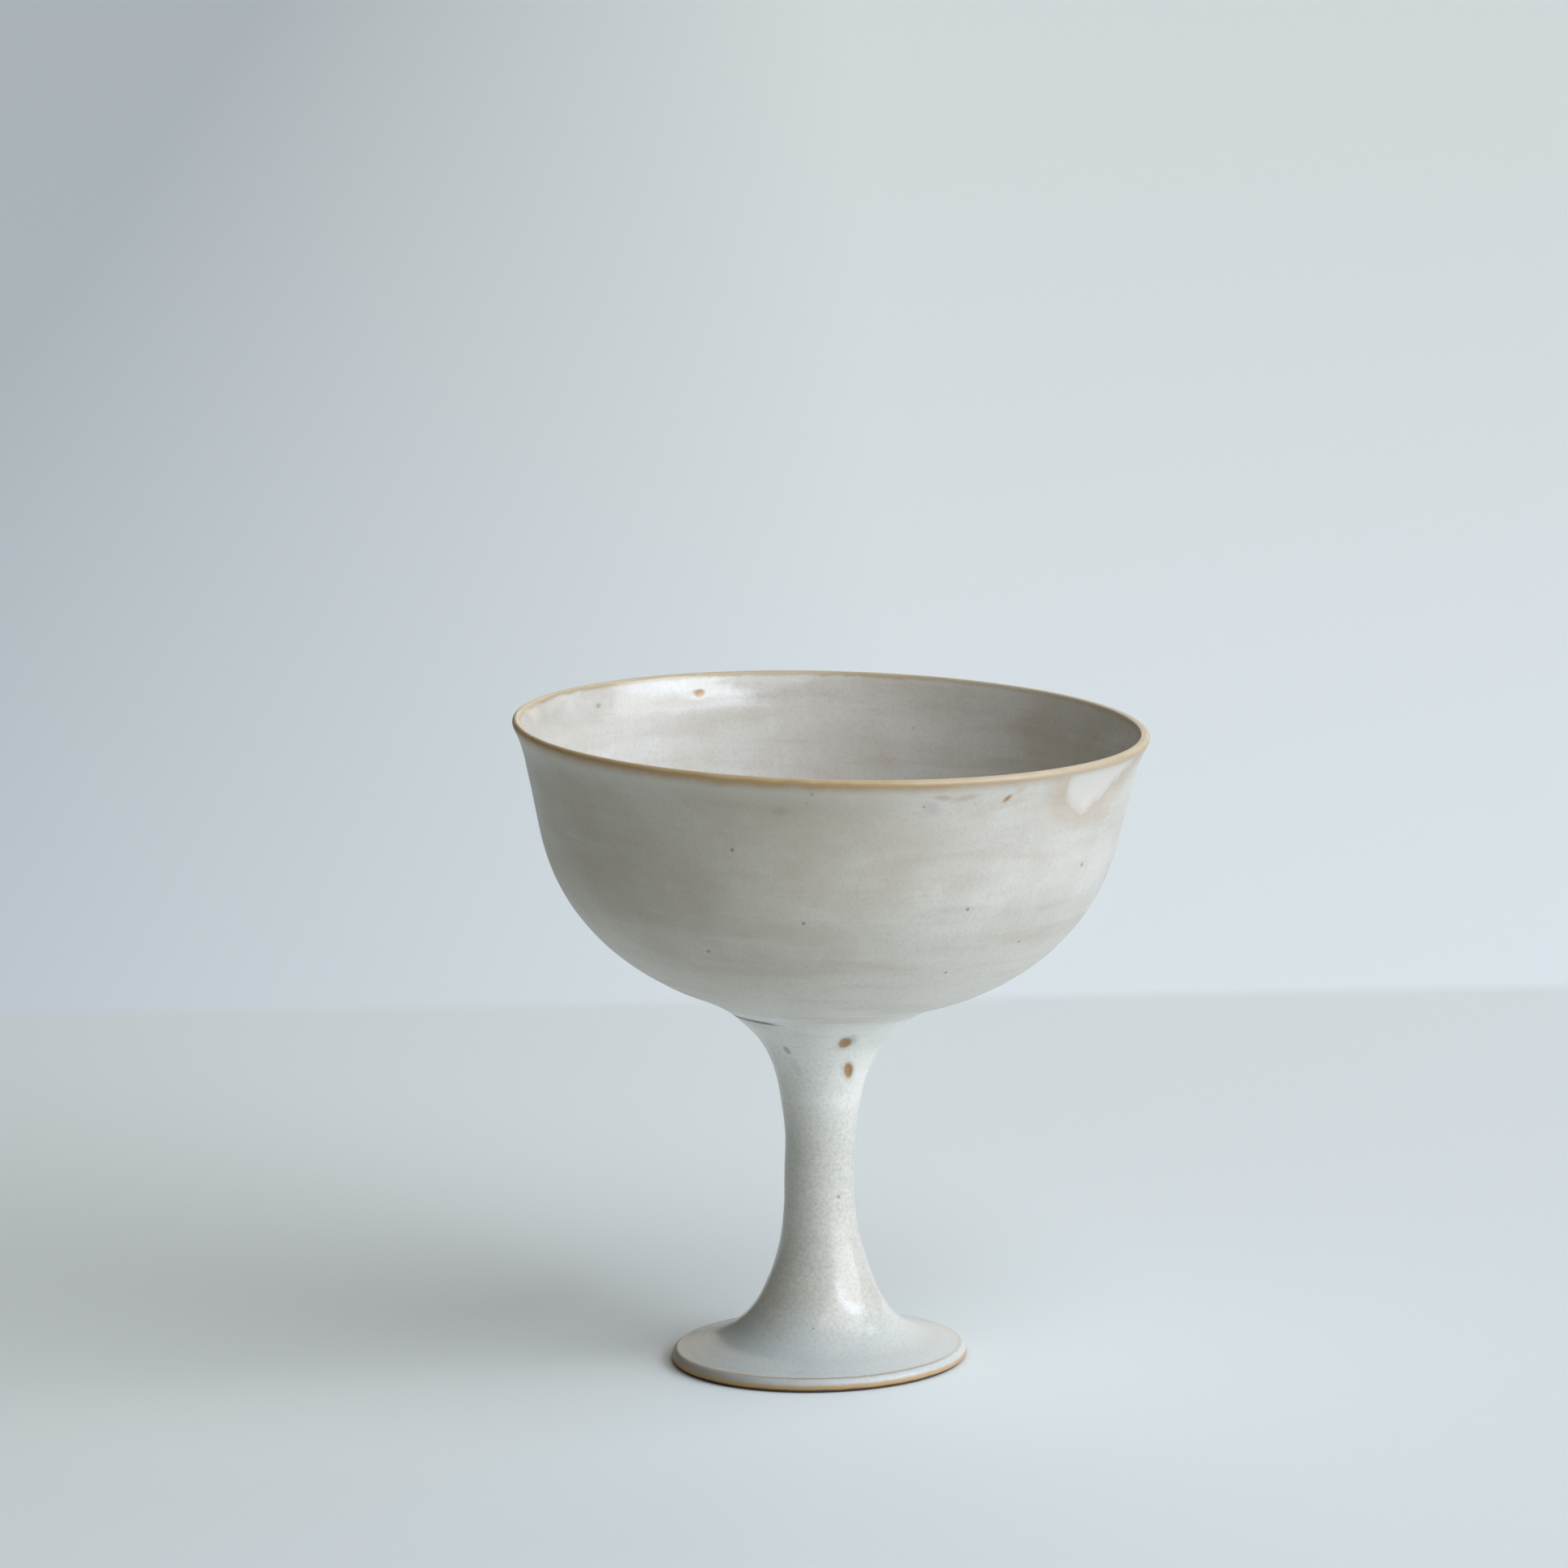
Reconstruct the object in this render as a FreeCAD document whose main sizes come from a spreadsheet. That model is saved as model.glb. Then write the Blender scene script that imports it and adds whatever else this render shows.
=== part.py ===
import FreeCAD, Part
import math
import os
import Sketcher

# A hand-thrown stoneware goblet: a low turned foot, a slim waisted stem and a wide round bowl.
# It is one fired piece of clay, so it is one solid. The potter threw the bowl apart and set it on
# the stem by eye, so the stem leans a little from the foot and the bowl leans a little more.
#
# Frame, in millimetres: the origin is the middle of the foot on the table, +Z goes up and
# +X is the side to which the stem and the bowl lean.

doc = FreeCAD.newDocument("goblet")

# Driving sizes: name, value, what it measures. Angles are in degrees.
sizes = [
    ("foot_radius", 24.75, "foot, radius to the lower corner of its rounded edge"),
    ("foot_undercut", 0.65, "foot, height of the bevel under its edge"),
    ("ring_inset", 0.65, "foot ring, how far inside the lower corner its outer side stands"),
    ("ring_width", 4.0, "foot ring, width of the unglazed band that stands on the table"),
    ("recess_depth", 1.2, "foot, depth of the turned recess inside the foot ring"),
    ("recess_taper", 1.5, "foot, how far the side of the recess slopes inward"),
    ("arris_inset", 1.2, "foot, how far inside the lower corner the ridge over its edge stands"),
    ("arris_height", 2.3, "foot, height of that ridge"),
    ("edge_bulge", 0.441, "foot, how far its edge swells out between lower corner and ridge"),
    ("foot_slope", 16.0, "foot, angle of its top above the level"),
    ("stem_shift", 0.1, "stem, how far its axis starts from the middle of the foot"),
    ("stem_lean", 1.2, "stem, lean of its axis from the upright"),
    ("waist_radius", 5.85, "stem, radius at its waist"),
    ("waist_length", 7.1, "stem, length of its straight waist"),
    ("waist_drop", 24.1, "stem, how far below the bowl's underside the waist ends"),
    ("stem_root", 15.465, "stem, radius where it starts, level with the ridge of the foot"),
    ("stem_head", 16.47, "stem, radius where it ends, halfway into the bowl's floor"),
    ("foot_blend", 14.0, "cove where the stem runs out into the foot"),
    ("bowl_blend", 20.5, "cove where the stem runs out under the bowl"),
    ("bowl_height", 60.6, "bowl, height of its underside over the table, on its own axis"),
    ("bowl_shift", 1.9, "bowl, how far its axis starts from the middle of the foot"),
    ("bowl_lean", 2.45, "bowl, lean of its axis from the upright"),
    ("lip_radius", 52.1, "bowl, radius of the middle of its lip"),
    ("lip_height", 46.65, "bowl, height of the middle of its lip over the underside"),
    ("lip_thickness", 1.5, "bowl, thickness of its wall at the lip"),
    ("flare_drop", 6.05, "bowl, how far below the lip's middle the wall begins to turn out"),
    ("flare_sweep", 23, "bowl, radius of that outward turn"),
    ("wall_slope", 77.15, "bowl, angle of its straight wall above the level"),
    ("shoulder_height", 28.5, "bowl, height where the round belly meets the straight wall"),
    ("flat_radius", 9.1, "bowl, radius of the flat middle of its underside"),
    ("under_turn", 43.1, "bowl, angle that its underside and floor curve through before the belly"),
    ("wall_thickness", 3.0, "bowl, thickness of the wall round the belly"),
    ("floor_thickness", 4.5, "bowl, thickness of the floor"),
]

dims = doc.addObject("Spreadsheet::Sheet", "dims")
for row, (name, value, meaning) in enumerate(sizes, start=1):
    dims.set("A%d" % row, name)
    dims.set("B%d" % row, str(value))
    dims.set("C%d" % row, meaning)
    dims.setAlias("B%d" % row, name)
doc.recompute()
size = {name: value for name, value, meaning in sizes}

body = doc.addObject("PartDesign::Body", "goblet")
body.Label = "goblet"


def vec(x, y):
    return FreeCAD.Vector(x, y, 0)


def upright_sketch(name, shift=None, height=None, lean=None):
    """A sketch in the X-Z plane whose own vertical axis is the axis of the turned form."""
    sketch = body.newObject("Sketcher::SketchObject", name)
    plane = [f for f in body.Origin.OriginFeatures if f.Role == "XZ_Plane"][0]
    sketch.AttachmentSupport = [(plane, "")]
    sketch.MapMode = "FlatFace"
    if shift:
        sketch.setExpression("AttachmentOffset.Base.x", "dims." + shift)
    if height:
        sketch.setExpression("AttachmentOffset.Base.y", "dims." + height)
    if lean:
        sketch.AttachmentOffset = FreeCAD.Placement(
            FreeCAD.Vector(0, 0, 0), FreeCAD.Rotation(FreeCAD.Vector(0, 0, 1), -size[lean])
        )
        sketch.setExpression("AttachmentOffset.Rotation.Angle", "-dims.%s * 1 deg" % lean)
    return sketch


def add_line(sketch, start, end):
    return sketch.addGeometry(Part.LineSegment(vec(*start), vec(*end)), False)


def add_arc(sketch, centre, radius, start, end):
    """An arc that runs counter-clockwise round its centre from start to end."""
    first = math.atan2(start[1] - centre[1], start[0] - centre[0])
    last = math.atan2(end[1] - centre[1], end[0] - centre[0])
    circle = Part.Circle(vec(*centre), FreeCAD.Vector(0, 0, 1), radius)
    return sketch.addGeometry(Part.ArcOfCircle(circle, first, last), False)


def bind(sketch, kind, places, formula):
    """Adds a dimension to a sketch and ties it to a formula of the sheet's sizes."""
    value = sketch.evalExpression(formula)
    if kind == "Angle":
        value = value.getValueAs("rad")
    index = sketch.addConstraint(Sketcher.Constraint(kind, *places, float(value)))
    sketch.renameConstraint(index, "size_%d" % index)
    sketch.setExpression("Constraints.size_%d" % index, formula)


def join(sketch, first, first_end, second, second_end):
    sketch.addConstraint(Sketcher.Constraint("Coincident", first, first_end, second, second_end))


def smooth(sketch, first, first_end, second, second_end):
    """Joins two pieces of an outline end to end without a corner."""
    sketch.addConstraint(Sketcher.Constraint("Tangent", first, first_end, second, second_end))


def turned(name, sketch):
    """The solid that a profile sweeps out round its sketch's own vertical axis."""
    form = body.newObject("PartDesign::Revolution", name)
    form.Profile = sketch
    form.ReferenceAxis = (sketch, ["V_Axis"])
    form.Angle = 360
    doc.recompute()
    return form


# Which point of a line or an arc a constraint holds, and a sketch's own origin and upright axis
START, END, CENTRE = range(1, 4)
ORIGIN, UP_AXIS = range(-1, -3, -1)


# Foot: a low disc with a shallow recess below, a bevelled and rounded edge and a sloping top
def draw_foot():
    sketch = upright_sketch("foot_profile")
    ring = size["foot_radius"] - size["ring_inset"]
    inner = ring - size["ring_width"]
    roof = (0, size["recess_depth"])
    corner = (inner - size["recess_taper"], size["recess_depth"])
    ring_in = (inner, 0)
    ring_out = (ring, 0)
    low = (size["foot_radius"], size["foot_undercut"])
    arris = (size["foot_radius"] - size["arris_inset"], size["arris_height"])
    peak = (0, size["arris_height"] + arris[0] * math.tan(math.radians(size["foot_slope"])))

    # rounded edge: its centre is on the inner side of the line from its lower corner to the arris
    half = math.dist(low, arris) / 2
    bulge = size["edge_bulge"]
    edge_round = (half ** 2 + bulge ** 2) / (2 * bulge)
    reach = edge_round - bulge
    along = ((arris[0] - low[0]) / (2 * half), (arris[1] - low[1]) / (2 * half))
    middle = ((low[0] + arris[0]) / 2, (low[1] + arris[1]) / 2)
    centre = (middle[0] - along[1] * reach, middle[1] + along[0] * reach)
    rise = "(dims.arris_height - dims.foot_undercut)"
    half_squared = "(dims.arris_inset ^ 2 + %s ^ 2) / 4" % rise
    round_rule = "(%s + dims.edge_bulge ^ 2) / (2 * dims.edge_bulge)" % half_squared

    recess = add_line(sketch, roof, corner)
    side = add_line(sketch, corner, ring_in)
    band = add_line(sketch, ring_in, ring_out)
    bevel = add_line(sketch, ring_out, low)
    edge = add_arc(sketch, centre, edge_round, low, arris)
    top = add_line(sketch, arris, peak)
    axis = add_line(sketch, peak, roof)
    join(sketch, recess, END, side, START)
    join(sketch, side, END, band, START)
    join(sketch, band, END, bevel, START)
    join(sketch, bevel, END, edge, START)
    join(sketch, edge, END, top, START)
    join(sketch, top, END, axis, START)
    join(sketch, axis, END, recess, START)
    sketch.addConstraint(Sketcher.Constraint("Horizontal", recess))
    sketch.addConstraint(Sketcher.Constraint("Horizontal", band))
    sketch.addConstraint(Sketcher.Constraint("Vertical", axis))
    sketch.addConstraint(Sketcher.Constraint("PointOnObject", axis, START, UP_AXIS))
    bind(sketch, "DistanceY", (ORIGIN, START, recess, START), "dims.recess_depth")
    bind(sketch, "DistanceX", (side, START, side, END), "dims.recess_taper")
    bind(sketch, "DistanceX", (band, START, band, END), "dims.ring_width")
    bind(sketch, "DistanceX", (ORIGIN, START, band, END), "dims.foot_radius - dims.ring_inset")
    sketch.addConstraint(Sketcher.Constraint("PointOnObject", band, END, ORIGIN))
    bind(sketch, "DistanceX", (ORIGIN, START, bevel, END), "dims.foot_radius")
    bind(sketch, "DistanceY", (ORIGIN, START, bevel, END), "dims.foot_undercut")
    bind(sketch, "DistanceX", (edge, END, edge, START), "dims.arris_inset")
    bind(sketch, "DistanceY", (ORIGIN, START, edge, END), "dims.arris_height")
    bind(sketch, "Radius", (edge,), round_rule)
    climb = "(dims.foot_radius - dims.arris_inset) * tan(dims.foot_slope * 1 deg)"
    bind(sketch, "DistanceY", (top, START, top, END), climb)
    return sketch


def outward_sweep(inner, outer, rise):
    """Radius of the arc that leaves an upright line and runs out from one radius to another."""
    return ((outer - inner) ** 2 + rise ** 2) / (2 * (outer - inner))


# Stem: straight at its waist and swept outward below and above, with its ends inside foot and bowl
def draw_stem():
    sketch = upright_sketch("stem_profile", shift="stem_shift", lean="stem_lean")
    bottom = size["arris_height"]
    top = size["bowl_height"] + size["floor_thickness"] / 2
    waist = size["waist_radius"]
    waist_high = (waist, size["bowl_height"] - size["waist_drop"])
    waist_low = (waist, waist_high[1] - size["waist_length"])
    low_end = (size["stem_root"], bottom)
    high_end = (size["stem_head"], top)
    low_sweep = outward_sweep(waist, low_end[0], waist_low[1] - bottom)
    high_sweep = outward_sweep(waist, high_end[0], top - waist_high[1])
    low_centre = (waist + low_sweep, waist_low[1])
    high_centre = (waist + high_sweep, waist_high[1])

    base = add_line(sketch, (0, bottom), low_end)
    low = add_arc(sketch, low_centre, low_sweep, waist_low, low_end)
    neck = add_line(sketch, waist_low, waist_high)
    high = add_arc(sketch, high_centre, high_sweep, high_end, waist_high)
    head = add_line(sketch, high_end, (0, top))
    axis = add_line(sketch, (0, top), (0, bottom))
    join(sketch, base, END, low, END)
    smooth(sketch, low, START, neck, START)
    smooth(sketch, neck, END, high, END)
    join(sketch, high, START, head, START)
    join(sketch, head, END, axis, START)
    join(sketch, axis, END, base, START)
    sketch.addConstraint(Sketcher.Constraint("Horizontal", base))
    sketch.addConstraint(Sketcher.Constraint("Horizontal", head))
    sketch.addConstraint(Sketcher.Constraint("Vertical", neck))
    sketch.addConstraint(Sketcher.Constraint("Vertical", axis))
    sketch.addConstraint(Sketcher.Constraint("PointOnObject", axis, START, UP_AXIS))
    bind(sketch, "DistanceY", (ORIGIN, START, base, START), "dims.arris_height")
    bind(sketch, "DistanceY", (ORIGIN, START, head, END), "dims.bowl_height + dims.floor_thickness / 2")
    bind(sketch, "DistanceX", (ORIGIN, START, neck, START), "dims.waist_radius")
    bind(sketch, "DistanceY", (neck, START, neck, END), "dims.waist_length")
    bind(sketch, "DistanceY", (ORIGIN, START, neck, END), "dims.bowl_height - dims.waist_drop")
    bind(sketch, "DistanceX", (base, START, base, END), "dims.stem_root")
    bind(sketch, "DistanceX", (head, END, head, START), "dims.stem_head")
    return sketch


# Bowl: the section of its wall, from the flat underside round the belly and up to the rounded lip,
# then down the inside to the floor. Inside and outside share the centres of belly and flare, so
# the wall thins evenly from the belly to the lip.
def belly_radius(shoulder, slope):
    """Radius of the belly's arc that lets the underside curve away right from the flat's rim."""
    turn = math.radians(size["under_turn"])
    across = shoulder[0] - size["flat_radius"]
    surplus = shoulder[1] * math.sin(turn) - across * (1 - math.cos(turn))
    share = (math.cos(turn) - math.cos(slope)) * math.sin(turn)
    return surplus / (share - (math.sin(slope) - math.sin(turn)) * (1 - math.cos(turn)))


def rise_from_floor(centre, radius, level):
    """Centre, radius and end of the arc that leaves a level floor and runs into the belly's arc."""
    turn = math.radians(size["under_turn"])
    end = (centre[0] + radius * math.sin(turn), centre[1] - radius * math.cos(turn))
    wide = (end[1] - level) / (1 - math.cos(turn))
    return (end[0] - wide * math.sin(turn), level + wide), wide, end


def draw_bowl():
    sketch = upright_sketch("bowl_profile", shift="bowl_shift", height="bowl_height", lean="bowl_lean")
    lip = size["lip_thickness"]
    flare = size["flare_sweep"]
    slope = math.radians(size["wall_slope"])
    out = (math.sin(slope), -math.cos(slope))

    # flare: its centre lies outside the bowl, level with a point below the lip
    middle_sweep = flare + lip / 2
    flare_height = size["lip_height"] - size["flare_drop"]
    flare_level = flare_height - flare * math.cos(slope)
    lip_turn = math.acos((size["lip_height"] - flare_level) / middle_sweep)
    flare_centre = (size["lip_radius"] + middle_sweep * math.sin(lip_turn), flare_level)
    toward_lip = (-math.sin(lip_turn), math.cos(lip_turn))
    lip_out = (flare_centre[0] + flare * toward_lip[0], flare_level + flare * toward_lip[1])
    lip_in = (
        flare_centre[0] + (flare + lip) * toward_lip[0],
        flare_level + (flare + lip) * toward_lip[1],
    )
    lip_middle = (size["lip_radius"], size["lip_height"])
    flare_foot = (flare_centre[0] - flare * out[0], flare_height)

    # belly: its arc meets the straight wall at the shoulder
    drop = flare_height - size["shoulder_height"]
    shoulder = (flare_foot[0] - drop / math.tan(slope), size["shoulder_height"])
    belly = belly_radius(shoulder, slope)
    belly_centre = (shoulder[0] - belly * out[0], shoulder[1] - belly * out[1])
    under_centre, under, under_end = rise_from_floor(belly_centre, belly, 0)

    # inside: the straight wall touches the inner arcs of the belly and the flare
    belly_in = belly - size["wall_thickness"]
    flare_in = flare + lip
    across = math.dist(belly_centre, flare_centre)
    bearing = math.atan2(flare_centre[1] - belly_centre[1], flare_centre[0] - belly_centre[0])
    tilt = math.acos((belly_in + flare_in) / across)
    toward = (math.cos(bearing - tilt), math.sin(bearing - tilt))
    shoulder_in = (belly_centre[0] + belly_in * toward[0], belly_centre[1] + belly_in * toward[1])
    flare_foot_in = (flare_centre[0] - flare_in * toward[0], flare_centre[1] - flare_in * toward[1])
    level = size["floor_thickness"]
    floor_centre, floor, floor_end = rise_from_floor(belly_centre, belly_in, level)

    underside = add_line(sketch, (0, 0), (under_centre[0], 0))
    under_arc = add_arc(sketch, under_centre, under, (under_centre[0], 0), under_end)
    belly_arc = add_arc(sketch, belly_centre, belly, under_end, shoulder)
    wall = add_line(sketch, shoulder, flare_foot)
    flare_arc = add_arc(sketch, flare_centre, flare, lip_out, flare_foot)
    lip_arc = add_arc(sketch, lip_middle, lip / 2, lip_out, lip_in)
    flare_arc_in = add_arc(sketch, flare_centre, flare_in, lip_in, flare_foot_in)
    wall_in = add_line(sketch, flare_foot_in, shoulder_in)
    belly_arc_in = add_arc(sketch, belly_centre, belly_in, floor_end, shoulder_in)
    floor_arc = add_arc(sketch, floor_centre, floor, (floor_centre[0], level), floor_end)
    floor_line = add_line(sketch, (floor_centre[0], level), (0, level))
    axis = add_line(sketch, (0, level), (0, 0))
    smooth(sketch, underside, END, under_arc, START)
    smooth(sketch, under_arc, END, belly_arc, START)
    smooth(sketch, belly_arc, END, wall, START)
    smooth(sketch, wall, END, flare_arc, END)
    smooth(sketch, flare_arc, START, lip_arc, START)
    smooth(sketch, lip_arc, END, flare_arc_in, START)
    smooth(sketch, flare_arc_in, END, wall_in, START)
    smooth(sketch, wall_in, END, belly_arc_in, END)
    smooth(sketch, belly_arc_in, START, floor_arc, END)
    smooth(sketch, floor_arc, START, floor_line, START)
    join(sketch, floor_line, END, axis, START)
    join(sketch, axis, END, underside, START)
    join(sketch, belly_arc, CENTRE, belly_arc_in, CENTRE)
    join(sketch, flare_arc, CENTRE, flare_arc_in, CENTRE)
    join(sketch, underside, START, ORIGIN, START)
    sketch.addConstraint(Sketcher.Constraint("Horizontal", underside))
    sketch.addConstraint(Sketcher.Constraint("Horizontal", floor_line))
    sketch.addConstraint(Sketcher.Constraint("Vertical", axis))
    bind(sketch, "DistanceX", (underside, START, underside, END), "dims.flat_radius")
    bind(sketch, "Angle", (under_arc,), "dims.under_turn * 1 deg")
    bind(sketch, "Angle", (floor_arc,), "dims.under_turn * 1 deg")
    bind(sketch, "DistanceY", (axis, END, axis, START), "dims.floor_thickness")
    bind(sketch, "Radius", (flare_arc,), "dims.flare_sweep")
    bind(sketch, "Radius", (lip_arc,), "dims.lip_thickness / 2")
    bind(sketch, "Distance", (belly_arc, START, belly_arc_in, START), "dims.wall_thickness")
    bind(sketch, "DistanceX", (ORIGIN, START, lip_arc, CENTRE), "dims.lip_radius")
    bind(sketch, "DistanceY", (ORIGIN, START, lip_arc, CENTRE), "dims.lip_height")
    bind(sketch, "DistanceY", (ORIGIN, START, wall, END), "dims.lip_height - dims.flare_drop")
    bind(sketch, "DistanceY", (ORIGIN, START, wall, START), "dims.shoulder_height")
    bind(sketch, "Angle", (wall,), "dims.wall_slope * 1 deg")
    return sketch


def crease_between(lowest, highest):
    """Name of the longest closed edge that lies wholly between two heights."""
    found = [
        (edge.Length, "Edge%d" % number)
        for number, edge in enumerate(body.Tip.Shape.Edges, start=1)
        if edge.Closed and edge.BoundBox.ZMin > lowest and edge.BoundBox.ZMax < highest
    ]
    return max(found)[1]


def cove(name, edge, radius):
    """Rounds out the inner corner along an edge."""
    base = body.Tip
    blend = body.newObject("PartDesign::Fillet", name)
    blend.Base = (base, [edge])
    blend.setExpression("Radius", "dims." + radius)
    doc.recompute()
    return blend


# The stem joins the foot and the bowl in coves, as the potter's thumb leaves them.
turned("foot", draw_foot())
turned("stem", draw_stem())
turned("bowl", draw_bowl())
stem_end = size["bowl_height"] + size["floor_thickness"] / 2
waist_end = size["bowl_height"] - size["waist_drop"]
cove("foot_cove", crease_between(size["arris_height"], waist_end), "foot_blend")
cove("bowl_cove", crease_between(waist_end, stem_end), "bowl_blend")

# Every object of the model has to be sound before the part is written.
for item in doc.Objects:
    if "Invalid" in item.State or "Error" in item.State:
        raise RuntimeError("%s failed: %s" % (item.Name, item.State))
if body.Shape.isNull() or not body.Shape.isValid() or len(body.Shape.Solids) != 1:
    raise RuntimeError("the goblet is not one sound solid")

os.makedirs("parts", exist_ok=True)
body.Shape.exportStep("parts/%s.step" % body.Label)
box = body.Shape.BoundBox
print("goblet: %.1f x %.1f x %.1f mm" % (box.XLength, box.YLength, box.ZLength))
print("lowest %.3f mm, highest %.2f mm" % (box.ZMin, box.ZMax))
print("clay %.0f cubic mm" % body.Shape.Volume)
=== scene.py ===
import math
import bmesh
import bpy
from mathutils import Matrix, Vector


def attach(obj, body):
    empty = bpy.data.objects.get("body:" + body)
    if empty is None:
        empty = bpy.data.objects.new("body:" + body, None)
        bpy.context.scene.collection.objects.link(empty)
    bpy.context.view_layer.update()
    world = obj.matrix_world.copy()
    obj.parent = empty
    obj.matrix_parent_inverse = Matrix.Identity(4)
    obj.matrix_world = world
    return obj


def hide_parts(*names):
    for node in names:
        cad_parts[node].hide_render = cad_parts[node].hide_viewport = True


# %% [markdown]
# A hand-thrown stoneware goblet
#
# The real goblet is one fired piece of clay: a low turned foot, a slim waisted stem and a wide round
# bowl with a thin, slightly flared lip. A pale satin glaze covers it. The glaze breaks to brown where it
# runs thin over the lip and the edge of the foot, and a few pinholes show the clay under it.
#
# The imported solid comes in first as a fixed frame. It gives the goblet's box, and the turned form made
# below stands in for it at the same place and size.

# %% Load the frame
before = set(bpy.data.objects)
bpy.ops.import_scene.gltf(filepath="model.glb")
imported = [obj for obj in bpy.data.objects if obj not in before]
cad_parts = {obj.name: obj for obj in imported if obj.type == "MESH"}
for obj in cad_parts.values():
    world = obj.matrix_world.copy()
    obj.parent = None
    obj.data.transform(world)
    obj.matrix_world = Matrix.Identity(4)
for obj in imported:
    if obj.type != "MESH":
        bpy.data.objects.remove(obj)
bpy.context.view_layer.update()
MM = 0.001

# %% [markdown]
# The camera
#
# The photograph looks down on the goblet by about ten degrees from 1.4 metres away, through a long lens,
# so the foot and the bowl keep almost the same scale. The camera was also held a degree off level, which
# shows as a small turn round its own line of sight. The values are the ones that lay the goblet's
# outline on the photograph's.

# %% Place the camera
SENSOR_MM = 36.0
FOCAL_MM = 191.93
CAMERA_PLACE = Vector((1.789, -1363.877, 347.404)) * MM
LOOK_DOWN = 10.3684
LOOK_ASIDE = 0.2473
HELD_ASKEW = -1.1

lens = bpy.data.cameras.new("long_lens")
lens.sensor_width = SENSOR_MM
lens.lens = FOCAL_MM
camera = bpy.data.objects.new("camera", lens)
camera.matrix_world = (
    Matrix.Translation(CAMERA_PLACE)
    @ Matrix.Rotation(math.radians(LOOK_ASIDE), 4, "Z")
    @ Matrix.Rotation(math.radians(90 - LOOK_DOWN), 4, "X")
    @ Matrix.Rotation(math.radians(HELD_ASKEW), 4, "Z")
)
bpy.context.scene.collection.objects.link(camera)
bpy.context.scene.camera = camera
print("camera %.0f mm from the goblet, %.0f mm lens" % (CAMERA_PLACE.length / MM, FOCAL_MM))

# %% [markdown]
# Two small helpers
#
# Colours are written as the sRGB hex values that a colour picker shows. Shaders work in linear light, so
# one function turns a hex value to linear. Another adds one node, with its settings and its links, and
# every node tree below is written with it. Two settings come up so often that they have names: a map range
# that eases in and out, and a mix of colours. A mix takes its amount at input 0, and then two colours at 6
# and 7 or two numbers at 2 and 3.

# %% Colour and node helpers
SMOOTH = {"interpolation_type": "SMOOTHSTEP"}
COLOUR = {"data_type": "RGBA"}


def linear(hex_colour):
    """A colour picker's hex value as the linear colour that a shader works in."""
    channels = [int(hex_colour[i : i + 2], 16) / 255 for i in (1, 3, 5)]
    return [c / 12.92 if c <= 0.04045 else ((c + 0.055) / 1.055) ** 2.4 for c in channels] + [1.0]


def put(tree, kind, settings=None, inputs=None):
    """Adds a node; an input is a plain value or the output of another node."""
    made = tree.nodes.new(kind)
    for name, value in (settings or {}).items():
        setattr(made, name, value)
    for name, value in (inputs or {}).items():
        if isinstance(value, bpy.types.NodeSocket):
            tree.links.new(value, made.inputs[name])
        else:
            made.inputs[name].default_value = value
    return made


print("pale glaze #c9c6be is linear", [round(c, 3) for c in linear("#c9c6be")])

# %% [markdown]
# The profile
#
# A thrown form is its outline turned round an axis, so the outline is what has to be right. It runs as one
# closed line from the middle of the underside out over the foot, up the stem, round the outside of the
# bowl, over the lip and down the inside to the middle of the floor. Each row gives a ring of clay: its
# radius, where its middle stands and how far it leans, because the stem leans a little from the foot and
# the bowl leans a little more from the stem.

# %% Rows of the foot and the stem: radius, middle's x, height in mm and lean in degrees
FOOT_ROWS = [
    (0, 0, 1.2, 0), (9, 0, 1.2, 0), (15.5, 0, 1.2, 0), (18.0, 0, 1.2, 0), (18.85, 0, 1.0, 0),
    (19.7, 0, 0.32, 0), (20.2, 0, 0.04, 0), (21.0, 0, 0, 0), (22.4, 0, 0, 0), (23.5, 0, 0, 0),
    (24.05, 0, 0.02, 0), (24.35, 0, 0.25, 0), (24.66, 0, 0.56, 0), (24.77, 0, 0.85, 0),
    (24.72, 0, 1.2, 0), (24.58, 0, 1.55, 0), (24.34, 0, 1.9, 0), (24.02, 0, 2.15, 0),
    (23.7, 0, 2.28, 0), (23.35, 0, 2.36, 0), (22.8, 0, 2.51, 0), (21.9, 0, 2.77, 0),
    (20.9, 0, 3.06, 0), (19.4, 0.02, 3.52, 0.1), (17.9, 0.05, 3.97, 0.2), (16.6, 0.08, 4.5, 0.3),
]
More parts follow.
